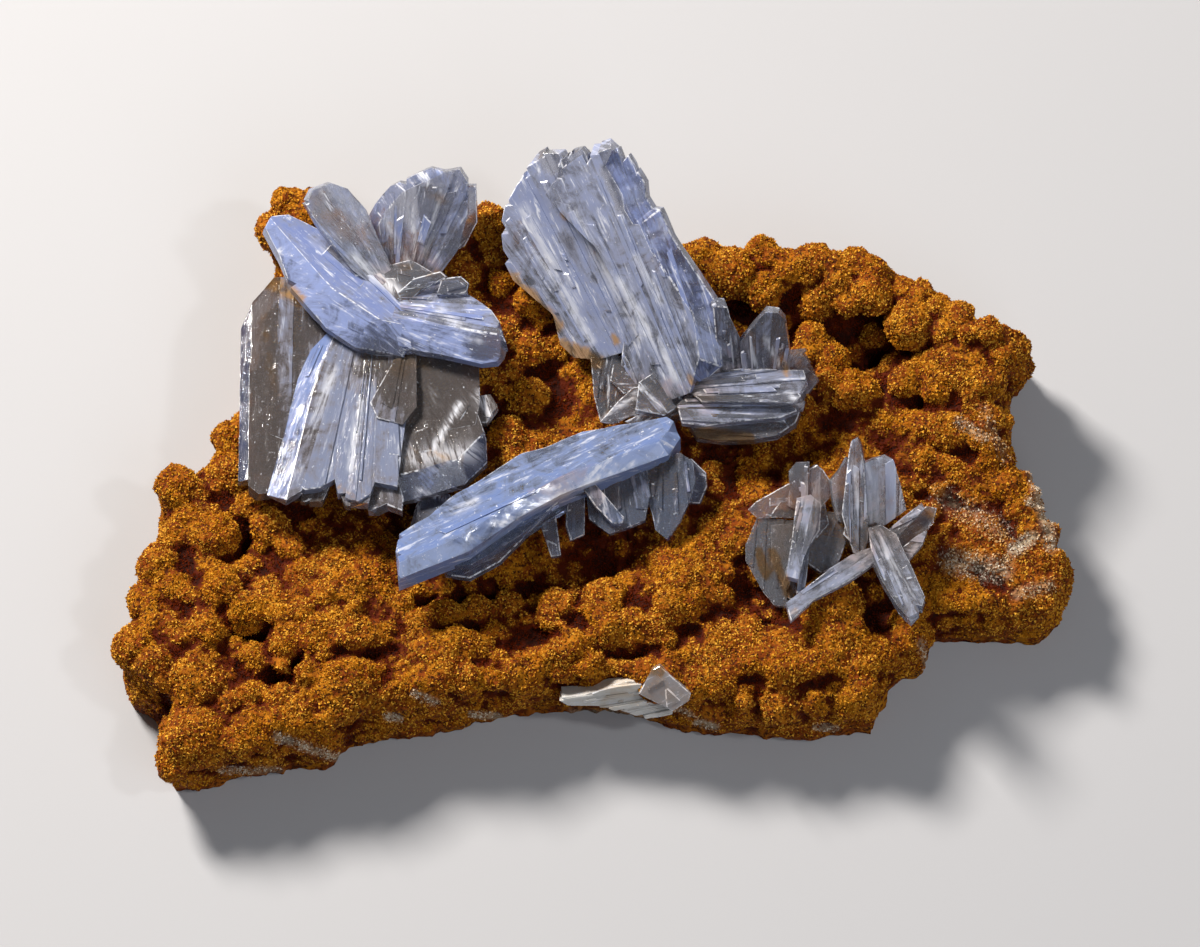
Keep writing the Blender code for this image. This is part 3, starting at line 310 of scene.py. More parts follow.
def scattered(found, dice, tries, radius_at, spacing, sunk):
    """Add knobs at random places of the crust that leave `spacing` to the knobs found before."""
    deepest_cleft = 1.2
    places = np.array(found)
    for attempt in range(tries):
        x = dice.uniform(-60, 60)
        y = dice.uniform(-40, 36)
        radius = radius_at(x, dice)
        if np.any(np.hypot(x - places[:, 0], y - places[:, 1]) < spacing * (radius + places[:, 3])):
            continue
        if to_outline(x, y) < 0.8 * radius or strokes(x, y, CLEFTS) > deepest_cleft:
            continue
        height = float(ground(x, y)) - (dice.uniform(*sunk) + sinking(x, y)) * radius
        places = np.vstack([places, (x, y, height, radius)])
    return [tuple(place) for place in places]


def knobs():
    """Centre and radius, in mm, of every knob of the crust, with the rows along its edge."""
    dice = random.Random(7)
    found = []
    for right, up, radius, height in CHIEF_KNOBS:
        centre = sighted(right, up, height)
        found.append((centre.x, centre.y, height - 0.6 * sinking(centre.x, centre.y) * radius, radius))
    found = scattered(found, dice, tries=5000, radius_at=knob_radius, spacing=0.6, sunk=(0.55, 0.95))
    found = scattered(found, dice, tries=900, radius_at=bud_radius, spacing=0.6, sunk=(0.6, 1.0))
    return found + edge_knobs(dice)


def edge_knobs(dice):
    """Two rows of knobs that bulge out along the outline, the lower one furthest."""
    pitch = 2.9
    rows = []
    for before, after in zip(CRUST_OUTLINE[-1:] + CRUST_OUTLINE, CRUST_OUTLINE):
        run = Vector((after[0] - before[0], after[1] - before[1]))
        inward = Vector((-run.y, run.x)).normalized()
        count = max(1, round(run.length / pitch))
        for step in range(count):
            radius = dice.uniform(1.7, 3.0)
            spot = Vector(before) + run * ((step + 0.5) / count) + inward * radius
            rows.append((spot.x, spot.y, CRUST_WAIST + dice.uniform(-0.8, 0.8), radius))
            spot = spot + inward * dice.uniform(0.4, 1.6)
            top = float(ground(spot.x, spot.y)) - 0.8 * radius
            rows.append((spot.x, spot.y, top - dice.uniform(0.0, 1.0), radius))
    return rows


def budding(parents):
    """Small knobs that bud from the large ones: centre and radius in mm."""
    buds_per_mm = 2.5
    dice = random.Random(21)
    found = []
    for x, y, height, radius in parents:
        for bud in range(round(buds_per_mm * radius)):
            turn = dice.uniform(0, 2 * math.pi)
            rise = dice.uniform(-0.1, 1.0)
            flat = math.sqrt(1 - rise ** 2)
            small = dice.uniform(0.5, 1.2)
            reach = radius - dice.uniform(0.6, 0.95) * small
            found.append((x + math.cos(turn) * flat * reach, y + math.sin(turn) * flat * reach,
                          height + rise * reach, small))
    return found


def add_balls(form, balls, fineness):
    """Add a ball for every centre and radius in mm, a handful at a time."""
    handful = 24
    for first in range(0, len(balls), handful):
        few = bmesh.new()
        for x, y, height, radius in balls[first:first + handful]:
            place = Matrix.Translation(Vector((x, y, height)) * MM)
            bmesh.ops.create_icosphere(few, subdivisions=fineness, radius=radius * MM, matrix=place)
        mesh = bpy.data.meshes.new("handful")
        few.to_mesh(mesh)
        few.free()
        form.from_mesh(mesh)
        bpy.data.meshes.remove(mesh)


def in_plan(corners):
    """Places of a bmesh's corners in plan, in mm: how far right and how far back."""
    return [np.array([getattr(corner.co, axis) for corner in corners]) / MM for axis in "xy"]


def rock_base():
    """Bmesh of the rock under the knobs: a grid at the general surface, which falls away at the outline."""
    wide, deep, steps_per_mm, under_table = 124, 80, 2, 0.5
    form = bmesh.new()
    bmesh.ops.create_grid(form, x_segments=steps_per_mm * wide, y_segments=steps_per_mm * deep, size=0.5)
    bmesh.ops.scale(form, vec=(wide * MM, deep * MM, 1), verts=form.verts)
    gaps = to_outline(*in_plan(form.verts))
    outside = [corner for corner, gap in zip(form.verts, gaps) if gap < 0]
    bmesh.ops.delete(form, geom=outside, context='VERTS')
    top = form.verts[:]
    drawn = bmesh.ops.extrude_face_region(form, geom=form.faces[:], use_keep_orig=True)
    base = [item for item in drawn["geom"] if isinstance(item, bmesh.types.BMVert)]
    x, y = in_plan(top)
    spots = list(zip(x.tolist(), y.tolist()))
    share = np.clip(to_outline(x, y) / EDGE_FALL, 0, 1)
    rough = np.array([noise.noise(Vector((*spot, 0)) / ROCK_SCALE) for spot in spots])
    drop = BASE_DROP + STANDING_DROP * (SUNK_MORE - np.array([sinking(*spot) for spot in spots]))
    height = (ground(x, y) - drop + ROCK_RISE * rough) * np.sqrt(1 - (1 - share) ** 2)
    for corner, level in zip(top, height.tolist()):
        corner.co.z = level * MM
    for corner in base:
        corner.co.z = -under_table * MM
    bmesh.ops.recalc_face_normals(form, faces=form.faces)
    return form


def relief(thing, name, kind, size, strength, middle):
    """Raise an object's surface along its normals by a cell or cloud pattern, sizes in mm."""
    pattern = bpy.data.textures.new(name, kind)
    pattern.noise_scale = size * MM
    if kind == 'CLOUDS':
        pattern.noise_depth = 2
    raised = thing.modifiers.new(name, 'DISPLACE')
    raised.texture = pattern
    raised.texture_coords = 'LOCAL'
    raised.strength = strength * MM
    raised.mid_level = middle


def shade_hollows(mesh):
    """Point attribute `hollow`: 0 on the crust's knobs, towards 1 in the hollows between them.

    It tells how far each point lies under the surface after a little and after much smoothing. The
    crust's and the grains' materials darken the hollows by it, as painted shade.
    """
    little, much = 6, 60
    count = len(mesh.vertices)
    place = corner_values(mesh, "co") / MM
    facing = corner_values(mesh, "normal")
    ends = np.empty(len(mesh.edges) * 2, dtype=np.int64)
    mesh.edges.foreach_get("vertices", ends)
    first, second = ends.reshape(-1, 2).T
    partners = np.bincount(first, minlength=count) + np.bincount(second, minlength=count)
    depths = []
    smooth = place.copy()
    for step in range(1, much + 1):
        total = np.zeros_like(smooth)
        for axis in range(3):
            total[:, axis] = (np.bincount(first, smooth[second, axis], count)
                              + np.bincount(second, smooth[first, axis], count))
        smooth = total / partners[:, None]
        if step in (little, much):
            depths.append(np.einsum('ij,ij->i', smooth - place, facing))
    fine, broad = depths
    hollow = np.clip(0.35 + 0.7 * broad + 1.2 * fine, 0, 1)
    put_on_points(mesh, "hollow", hollow)


def put_on_points(mesh, name, values):
    """Give a mesh a point attribute."""
    layer = mesh.attributes.new(name, 'FLOAT', 'POINT')
    layer.data.foreach_set("value", values.astype(np.float32))


def corner_values(mesh, name):
    """Array of a vector that every vertex of a mesh has."""
    values = np.empty(len(mesh.vertices) * 3, dtype=np.float32)
    mesh.vertices.foreach_get(name, values)
    return values.reshape(-1, 3)


def break_back(mesh):
    """Shape the back as a flat break: level where it rests, with shallow chips between."""
    lowest, downward, chip_size, chip_depth = 1.2, -0.4, 6, 1.3
    place = corner_values(mesh, "co")
    facing = corner_values(mesh, "normal")
    for number in np.nonzero((place[:, 2] < lowest * MM) & (facing[:, 2] < downward))[0]:
        chips = noise.fractal(Vector(place[number].tolist()) / (chip_size * MM), 0.8, 2.2, 4)
        place[number, 2] = max(0.0, chips) * chip_depth * MM
    place[:, 2] = np.maximum(place[:, 2], 0)
    mesh.vertices.foreach_set("co", place.ravel())
    mesh.update()


def limonite_crust(shift):
    """The crust: rock, knobs and buds fused in one skin, with a lumpy surface and a broken flat back."""
    form = rock_base()
    large = knobs()
    add_balls(form, large, fineness=3)
    add_balls(form, budding(large), fineness=2)
    crust = new_piece("limonite_crust", form, shift)
    fuse = crust.modifiers.new("fused knobs", 'REMESH')
    fuse.mode = 'VOXEL'
    fuse.voxel_size = VOXEL * MM
    eased = crust.modifiers.new("eased joins", 'SMOOTH')
    eased.factor = 0.5
    eased.iterations = 5
    relief(crust, "lumps", 'VORONOI', size=1.5, strength=-0.4, middle=0.5)
    relief(crust, "uneven knobs", 'CLOUDS', size=4.0, strength=1.5, middle=0.55)
    relief(crust, "grain", 'CLOUDS', size=0.6, strength=0.35, middle=0.5)
    carry_out(crust)
    break_back(crust.data)
    fewer = crust.modifiers.new("fewer faces", 'DECIMATE')
    fewer.ratio = LIMONITE_TRIANGLES / (2 * len(crust.data.polygons))
    carry_out(crust)
    shade_hollows(crust.data)
    painted(crust.data, shift, {"pale": PALE_CRUST})
    return crust


def loose_grains(name, crust, west, east, seed):
    """Grains of limonite lying on the crust between two ends, in mm, as one mesh of four-faced crumbs.

    They lie thickest in heaps and on what faces up, and none lies on the lowest edge.
    """
    lowest, full_turn = 2.0, 6.28
    bed = crust.data
    place = corner_values(bed, "co") / MM
    upward = corner_values(bed, "normal")[:, 2]
    heaped = np.array([noise.noise(Vector(spot) / HEAP) for spot in place.tolist()])
    grainy = np.clip(1.3 * upward + 0.5, 0, 1) * np.clip(0.7 + 0.9 * heaped, 0.15, 1.3)
    grainy = grainy * (place[:, 0] > west) * (place[:, 0] <= east) * (place[:, 2] > lowest)
    put_on_points(bed, "grainy", grainy)
    tree = bpy.data.node_groups.new(name, 'GeometryNodeTree')
    for side in ('INPUT', 'OUTPUT'):
        tree.interface.new_socket("Geometry", in_out=side, socket_type='NodeSocketGeometry')
    share = add(tree, "GeometryNodeInputNamedAttribute", {"Name": "grainy"}, data_type='FLOAT')
    thick = add(tree, MATH, share.outputs["Attribute"], GRAINS_PER_MM2 / MM ** 2, **TIMES)
    spots = add(tree, "GeometryNodeDistributePointsOnFaces", {
        "Mesh": add(tree, "NodeGroupInput"), "Density": thick, "Seed": seed}, distribute_method='RANDOM')
    grain = add(tree, "GeometryNodeMeshCone", {
        "Vertices": 3, "Radius Top": 0.0, "Radius Bottom": GRAIN_RADIUS * MM,
        "Depth": 1.5 * GRAIN_RADIUS * MM}, fill_type='NGON')
    size = add(tree, "FunctionNodeRandomValue", {0: [0.5] * 3, 1: [1.6] * 3, "Seed": seed},
               data_type='FLOAT_VECTOR')
    turn = add(tree, "FunctionNodeRandomValue", {0: [0.0] * 3, 1: [full_turn] * 3, "Seed": seed + 9},
               data_type='FLOAT_VECTOR')
    tone = add(tree, "FunctionNodeRandomValue", {2: 0.0, 3: 1.0, "Seed": seed + 5}, data_type='FLOAT')
    laid = add(tree, "GeometryNodeInstanceOnPoints", {
        "Points": spots, "Instance": grain, "Rotation": turn, "Scale": size})
    toned = add(tree, "GeometryNodeStoreNamedAttribute", {
        "Geometry": laid, "Name": "tone", "Value": tone.outputs[1]}, data_type='FLOAT', domain='INSTANCE')
    add(tree, "NodeGroupOutput", add(tree, "GeometryNodeRealizeInstances", toned))
    grains = bpy.data.objects.new(name, bed.copy())
    bpy.context.scene.collection.objects.link(grains)
    scatter = grains.modifiers.new("scatter", 'NODES')
    scatter.node_group = tree
    carry_out(grains)
    bed.attributes.remove(bed.attributes["grainy"])
    return grains


# The crystals.

class Blade:
    """A crystal seen face on: an outline in the layout view, on a plane `lift` over the crust at its root.

    The plane rises by `slope` to the right and upwards. The crystal is made of `laths` that grew side by
    side, away from the `fan` point. They lie up to `step` mm apart in height and end unevenly by up to
    `jag` mm, and the chance of a thinner one on top is `ledges`. `facets` are sloping faces along an edge
    of the outline: number of the corner where the edge starts, width of the slope seen from above and its
    depth. `bands` are slopes that follow several edges: first and last corner, width and depth. `milk`
    is how cloudy the crystal is, and `stain` how rusty its root is.
    """

    FAR = 60  # mm from the middle to the fan point of a blade whose laths lie side by side
    OVERLAP = 0.06  # mm by which neighbouring laths reach into each other
    MOST_SPANS = 4  # a lath with the thin ones on it
    TILT = 0.07  # how far a lath's face leans to its sides, and SLANT and UNDERCUT how its ends do
    SLANT = 0.7
    UNDERCUT = 0.5
    LEAST_VOLUME = 0.02  # mm3, under which a lath is a splinter and left out
    RIM = 0.13  # mm, width of a broken rim
    LEAST_RIM = 0.45  # mm, length of the shortest edge that is broken
    RIM_ANGLE = 0.35  # radians between the faces at an edge that is broken
    RIM_LEVEL = 0.35  # share of the thickness over which the rims are broken
    FACE_RISE = (0.2, 0.97)  # how far up a sloping band may face

    def __init__(self, outline, root, lift, slope, thickness, fan=None, laths=1, step=0.2, jag=0.0,
                 facets=(), bands=(), milk=0.5, ledges=0.7, stain=0.3):
        self.thickness = thickness
        self.laths = laths
        self.step = step
        self.jag = jag
        self.milk = milk
        self.facets = facets
        self.bands = bands
        self.ledges = ledges
        self.stain = stain

        def on_face(right, up):
            height = CRUST_LEVEL + lift + slope[0] * (right - root[0]) + slope[1] * (up - root[1])
            return sighted(right, up, height)

        origin = on_face(*root)
        along = (on_face(root[0] + 1, root[1]) - origin).normalized()
        outward = along.cross(on_face(root[0], root[1] + 1) - origin).normalized()
        across = outward.cross(along)

        def flat(spot):
            reach = on_face(*spot) - origin
            return Vector((reach.dot(along), reach.dot(across)))

        self.outline = [flat(spot) for spot in outline]
        self.middle = sum(self.outline, Vector((0, 0))) / len(outline)
        self.fan = flat(fan) if fan else self.middle - (self.middle.normalized() * self.FAR)
        turn = Matrix((along, across, outward)).transposed().to_4x4()
        self.placement = Matrix.Translation(origin * MM) @ turn

    def bearing(self, spot):
        """Direction of a spot from the fan point, in radians from the blade's middle line."""
        base = self.middle - self.fan
        reach = Vector(spot) - self.fan
        return math.atan2(base.x * reach.y - base.y * reach.x, base.dot(reach))

    def ray(self, bearing):
        """Unit vector from the fan point at a bearing."""
        return Matrix.Rotation(bearing, 2) @ (self.middle - self.fan).normalized()

    def inward(self, start):
        """Ends of the outline's edge that starts at a corner, and the flat direction into the blade."""
        first = self.outline[start]
        second = self.outline[(start + 1) % len(self.outline)]
        side = (second - first).normalized()
        normal = Vector((-side.y, side.x))
        area = sum(a.x * b.y - b.x * a.y for a, b in zip(self.outline, self.outline[1:] + self.outline[:1]))
        return first, second, normal if area > 0 else -normal

    def narrowed(self):
        """Corners of the top inside the sloping bands, in mm."""
        count = len(self.outline)
        ways = []
        for number in range(count):
            before = self.inward(number - 1)
            after = self.inward(number)
            ways.append((before[2] * (before[1] - before[0]).length
                         + after[2] * (after[1] - after[0]).length).normalized())
        ways = [(ways[number - 1] + 2 * ways[number] + ways[(number + 1) % count]).normalized()
                for number in range(count)]
        top = list(self.outline)
        for first, last, width, *_ in self.bands:
            for number in range(first, last + 1):
                top[number % count] = self.outline[number % count] + ways[number % count] * width
        return top

    def body(self, base, top):
        """Form of the whole blade with its sloping faces."""
        deep = max((depth for *_, depth in self.bands), default=0)
        form = prism(self.outline, base, top - deep)
        for name in ("band", "frost_and_painted_highlight", "milk", "stain", "seam"):
            form.faces.layers.float.new(name)
        for name in ("grain", "reach"):
            form.loops.layers.uv.new(name)
        band = form.faces.layers.float["band"]
        if deep:
            roof = max(form.faces, key=lambda face: face.calc_center_median().z)
            drawn = bmesh.ops.extrude_face_region(form, geom=[roof])
            narrow = self.narrowed()
            for corner in [item for item in drawn["geom"] if isinstance(item, bmesh.types.BMVert)]:
                spot = corner.co.to_2d() / MM
                number = min(range(len(narrow)), key=lambda one: (self.outline[one] - spot).length)
                corner.co = (narrow[number].to_3d() + Vector((0, 0, top))) * MM
            bmesh.ops.delete(form, geom=[roof], context='FACES_ONLY')
            bmesh.ops.recalc_face_normals(form, faces=form.faces)
            form.normal_update()
            for face in form.faces:
                if self.FACE_RISE[0] < face.normal.z < self.FACE_RISE[1]:
                    face[band] = 1.0
        for start, width, depth in self.facets:
            corner, _, inward = self.inward(start)
            for face in cut_away(form, corner.to_3d() + Vector((0, 0, top - depth)),
                                 (-inward * depth).to_3d() + Vector((0, 0, width))):
                face[band] = 1.0
        return form

    def forms(self, dice):
        """Bmesh of every lath and every thin one on top, placed in the layout."""
        bearings = [self.bearing(corner) for corner in self.outline]
        low = min(bearings)
        widths = [dice.uniform(0.4, 1.6) for lath in range(self.laths)]
        share = (max(bearings) - low) / sum(widths)
        overlap = self.OVERLAP / (self.middle - self.fan).length
        made = []
        # Each span: two bearings, base, top, nearest and farthest share of the blade's reach, and milk.
        for width in widths:
            high = low + width * share
            top = -dice.uniform(0, self.step)
            base = -self.thickness + dice.uniform(0, self.step)
            spans = [(low - overlap, high + overlap, base, top, 0.0, 1.0,
                      self.milk + dice.uniform(-0.08, 0.08))]
            while dice.random() < self.ledges and len(spans) < self.MOST_SPANS:
                edge = low + dice.uniform(0.0, 0.7) * (high - low)
                spans.append((edge, edge + dice.uniform(0.15, 0.5) * (high - low), 0.5 * base,
                              top + dice.uniform(0.06, 0.2), dice.uniform(-0.2, 0.6),
                              dice.uniform(0.5, 0.97), self.milk + dice.uniform(-0.1, 0.25)))
            for span in spans:
                form = self.lath(*span, dice)
                large = form.calc_volume() > self.LEAST_VOLUME * MM ** 3
                if large and all(edge.is_manifold for edge in form.edges):
                    made.append(form)
            low = high
        return made

    def lath(self, low, high, base, top, nearest, farthest, milk, dice):
        """One lath between two bearings and two shares of the blade's reach, with ragged ends and rims."""
        form = self.body(base, top)
        seam = form.faces.layers.float["seam"]
        frost_and_painted_highlight = form.faces.layers.float["frost_and_painted_highlight"]
        if self.laths > 1 or farthest < 1:
            for bearing, side in ((low, -1), (high, 1)):
                ray = self.ray(bearing)
                for face in cut_away(form, self.fan.to_3d(), Vector((-ray.y, ray.x, 0)) * side):
                    face[seam] = 1.0
        if not form.verts:
            return form
        middle = self.ray((low + high) / 2)
        across = Vector((-middle.y, middle.x))
        reaches = [(corner.co.to_2d() / MM - self.fan).dot(middle) for corner in form.verts]
        start, reach = min(reaches), max(reaches)
        tilt = dice.uniform(-self.TILT, self.TILT)
        centre = self.fan + middle * (start + reach) / 2
        cut_away(form, Vector((centre.x, centre.y, top - 0.02)),
                 Vector((across.x * tilt, across.y * tilt, 1)))
        if self.jag or farthest < 1:
            end = self.fan + middle * (start + (reach - start) * farthest - dice.uniform(0, self.jag))
            self.break_off(form, end, middle, dice)
        if nearest > 0:
            end = self.fan + middle * (start + (reach - start) * nearest)
            self.break_off(form, end, -middle, dice)
        level = (base + (top - base) * self.RIM_LEVEL) * MM
        rims = [edge for edge in form.edges if edge.is_manifold and edge.is_convex
                and edge.calc_length() > self.LEAST_RIM * MM and edge.calc_face_angle(0) > self.RIM_ANGLE
                and all(corner.co.z > level for corner in edge.verts)
                and not any(face[seam] for face in edge.link_faces)]
        if rims:
            sloped = bmesh.ops.bevel(form, geom=rims, offset=self.RIM * MM, offset_type='OFFSET',
                                     segments=1, profile=0.5, affect='EDGES', clamp_overlap=True,
                                     material=-1)
            # The rim faces carry the barite's white frost, which is partly painted highlight.
            for face in sloped["faces"]:
                face[frost_and_painted_highlight] = 1.0
        return self.marked(form, dice, milk)

    def break_off(self, form, end, way, dice):
        """Break what lies past a flat spot off a form, slantwise and a little undercut."""
        slant = Matrix.Rotation(dice.uniform(-self.SLANT, self.SLANT), 2) @ way
        cut_away(form, end.to_3d(), Vector((slant.x, slant.y, dice.uniform(0.0, self.UNDERCUT))))

    def marked(self, form, dice, cloud):
        """A finished form with what the material reads on it, set in its place in the layout.

        The map `grain` runs outwards from the fan point and across the laths, and `reach` from the
        blade's root and down from its face, both in mm.
        """
        milk = form.faces.layers.float["milk"]
        stain = form.faces.layers.float["stain"]
        grain = form.loops.layers.uv["grain"]
        reach = form.loops.layers.uv["reach"]
        distance = (self.middle - self.fan).length
        offset = dice.uniform(0, 90)
        for face in form.faces:
            face[milk] = cloud
            face[stain] = self.stain
            for loop in face.loops:
                spot = loop.vert.co.to_2d() / MM
                depth = loop.vert.co.z / MM
                loop[grain].uv = ((spot - self.fan).length + offset, self.bearing(spot) * distance + depth)
                loop[reach].uv = (spot.length, depth)
        bmesh.ops.transform(form, matrix=self.placement, verts=form.verts)
        return form


def root_prism(right, up, length, width, low, high, turn):
    """Stout six-sided crystal standing in the crust, that carries the blades above it."""
    outline = [(-length / 2, 0), (-length / 4, -width / 2), (length / 4, -width / 2),
               (length / 2, 0), (length / 4, width / 2), (-length / 4, width / 2)]
    foot = sighted(right, up, CRUST_LEVEL)
    stump = Blade(outline, (0, 0), 0, (0, 0), high - low, milk=0.3, stain=0.1)
    stump.outline = [Vector(corner) for corner in outline]
    stump.fan = Vector((0, -40))
    stump.middle = Vector((0, 0))
    stump.placement = (Matrix.Translation(Vector((foot.x, foot.y, high)) * MM)
                       @ Matrix.Rotation(math.radians(turn), 4, 'Z'))
    return stump


# The blades of each group, each with its outline, root, lift, slope and thickness, and the stout prisms
# at their root: right, up, length, width, lowest and highest point, and turn in degrees.
UPPER_LEFT_ROSETTE = [
    Blade([(-42, 31.5), (-41.1, 32.5), (-39, 32.7), (-35.5, 31), (-31, 29), (-26, 26),
           (-22.8, 21.4), (-24.2, 15.5), (-30.2, 16.7), (-34, 19.2), (-38.4, 24.2), (-40, 28)],
          (-25.6, 23), 5.6, (-0.15, -0.12), 3.4, fan=(-14, 10), laths=6, step=0.35, jag=1.0,
          facets=[(7, 3.6, 1.8), (8, 4.2, 2.0), (9, 3.4, 1.8)], milk=0.55),
    Blade([(-28.4, 24.2), (-26.6, 16.2), (-23.8, 16.3), (-20, 15.7), (-15, 14.6), (-13, 14.8),
           (-11.7, 16.4), (-12.4, 18.8), (-13.6, 20.6), (-16.5, 22.6), (-17, 24.4), (-23.5, 24.3)],
          (-25.6, 23), 5.3, (0.10, -0.15), 3.2, fan=(-36, 22.5), laths=8, step=0.3, jag=1.0,
          facets=[(2, 3.2, 1.7), (3, 2.6, 1.5)], milk=0.52),
    Blade([(-36.7, 33.6), (-35.8, 35.4), (-33.5, 36.3), (-31.5, 35.6), (-29.2, 33), (-28, 30),
           (-25.2, 24), (-26.5, 22), (-31, 25.5), (-34.8, 30.4)],
          (-26, 24), 4.8, (-0.26, 0.44), 2.4, fan=(-22, 17), laths=4, step=0.35, jag=0.5),
    Blade([(-29.8, 30.8), (-28.2, 33.6), (-26.4, 35.7), (-23.6, 37), (-21.2, 38.1), (-19.5, 37.7),
           (-17.5, 38), (-16.6, 37.4), (-16.6, 32.4), (-17.8, 28), (-20, 25), (-24.4, 24.8),
           (-28.6, 27.6)],
          (-24, 25), 4.4, (0.06, 0.56), 2.2, fan=(-26, 17), laths=7, step=0.3, jag=0.9,
          facets=[(0, 1.6, 1.0), (1, 1.6, 1.0), (2, 1.2, 0.8)], milk=0.45),
    Blade([(-23, 36), (-15.6, 36), (-15.4, 31.5), (-17, 28.5), (-22, 26)],
          (-24, 25), 1.9, (0.06, 0.60), 1.5, milk=0.3),
    Blade([(-25.4, 22.6), (-23.4, 24.4), (-20, 25.3), (-19.2, 24.6), (-22.5, 22.8), (-24.5, 21)],
          (-25, 23), 5.9, (0.12, 0.40), 1.0, milk=0.2, stain=0.0),
    Blade([(-20.5, 22.4), (-19.8, 24.4), (-17.4, 24.7), (-16.4, 23.8), (-16.7, 22.4)],
          (-20, 23), 6.6, (0.05, 0.30), 1.2, milk=0.25, stain=0.0),
    root_prism(-25.2, 22.2, 9, 5, 6.5, 17.6, 15),
    root_prism(-29, 24.2, 6, 3.5, 7, 17.0, 120)]

LOWER_LEFT_BLADES = [
    Blade([(-45, 18.6), (-43.6, 21.6), (-41, 24.7), (-39.5, 24.7), (-33, 18.6), (-32, 8),
           (-35, -1), (-41.2, -2.4), (-43.6, -2.6), (-43.8, -0.7), (-45, -0.7)],
          (-25, 14.5), 1.6, (-0.06, -0.13), 2.0, fan=(-38, 70), laths=4, step=0.15, jag=0.5,
          facets=[(10, 1.3, 0.8)], milk=0.32, ledges=0.35),
    Blade([(-33.7, 18.4), (-36.2, 16.1), (-37.8, 12.5), (-39.4, 5.5), (-41.4, -2), (-39, -3.2),
           (-37, -2), (-34.8, -1.7), (-33, -0.6), (-32.4, -3), (-28.9, -3.6), (-28, -1), (-25.2, -1.6),
           (-24.6, 4), (-23.4, 12), (-25, 16.5)],
          (-26, 15), 3.5, (-0.02, -0.16), 1.8, fan=(-27, 34), laths=9, step=0.2, jag=0.7,
          facets=[(1, 2.2, 1.2), (2, 2.4, 1.2), (3, 2.2, 1.2)], milk=0.62, ledges=0.45),
    Blade([(-36.6, 12), (-35, -0.1), (-33, -0.1), (-31, 6), (-28, 14.5), (-32, 15.5)],
          (-26, 15), 2.6, (-0.03, -0.17), 1.4, fan=(-27, 34), laths=3, step=0.25, jag=0.8, milk=0.45,
          ledges=0.3),
    Blade([(-33.6, 6), (-32.5, -2), (-31.6, -3.9), (-28.8, -4), (-27.5, 2), (-25.6, 10),
           (-26.5, 15.5), (-31, 14)],
          (-26, 15), 3.1, (0.0, -0.17), 1.6, fan=(-27, 34), laths=5, step=0.3, jag=1.0, milk=0.45,
          ledges=0.3),
    Blade([(-30, 2), (-28.8, -4.5), (-24.6, -4.7), (-24.4, -3), (-26, 2), (-24, 11), (-28, 12)],
          (-26, 15), 2.3, (0.02, -0.17), 1.6, fan=(-27, 34), laths=4, step=0.3, jag=0.8, milk=0.35,
          ledges=0.3),
    Blade([(-28, 15.6), (-20, 15.8), (-15.2, 14.6), (-15, 9), (-15.6, 5.8), (-20, 3.8), (-25.5, 4),
           (-28, 8)],
          (-25, 15), 2.7, (0.02, -0.12), 1.9, fan=(-34, 30), laths=4, step=0.15, jag=0.6, milk=0.2,
          ledges=0.35),
    Blade([(-25.8, 7), (-21, 6.6), (-15.2, 7.4), (-14.2, 4.6), (-14.1, 2.4), (-16.9, -0.3),
           (-21.2, -1.6), (-24.4, -2.4), (-26.6, -1.8), (-26.2, 2.4)],
          (-22, 12), 2.6, (0.02, -0.21), 3.2, fan=(-30, 40), laths=3, step=0.2, jag=0.0,
          facets=[(4, 2.4, 1.9), (5, 2.8, 2.0), (6, 2.8, 2.0)], milk=0.3),
    Blade([(-28.7, 9), (-25.8, 14.2), (-23, 15.2), (-22.9, 8.4), (-24.6, 6.2), (-27.8, 7)],
          (-25, 15), 3.9, (-0.02, -0.16), 1.2, fan=(-22, 30), laths=2, milk=0.5, ledges=0.3),
    Blade([(-16.5, 9.5), (-13.7, 9.9), (-12.8, 8.4), (-14.2, 6.4), (-16.5, 6.4)],
          (-15, 9), 2.2, (0.10, -0.05), 1.4, milk=0.3, stain=0.1),
    Blade([(-38.2, 0), (-38, -3.2), (-34.6, -3.8), (-33.6, -1.5), (-33.6, 3), (-36, 4)],
          (-26, 15), 1.7, (-0.04, -0.18), 1.3, fan=(-30, 30), laths=3, jag=0.5, milk=0.3),
    root_prism(-26, 14, 10, 4.5, 6.5, 14.6, -8),
    root_prism(-21, 10, 7, 3.6, 6.5, 14.2, 60),
    root_prism(-35, 12, 6, 3.2, 6.5, 14.0, 100)]

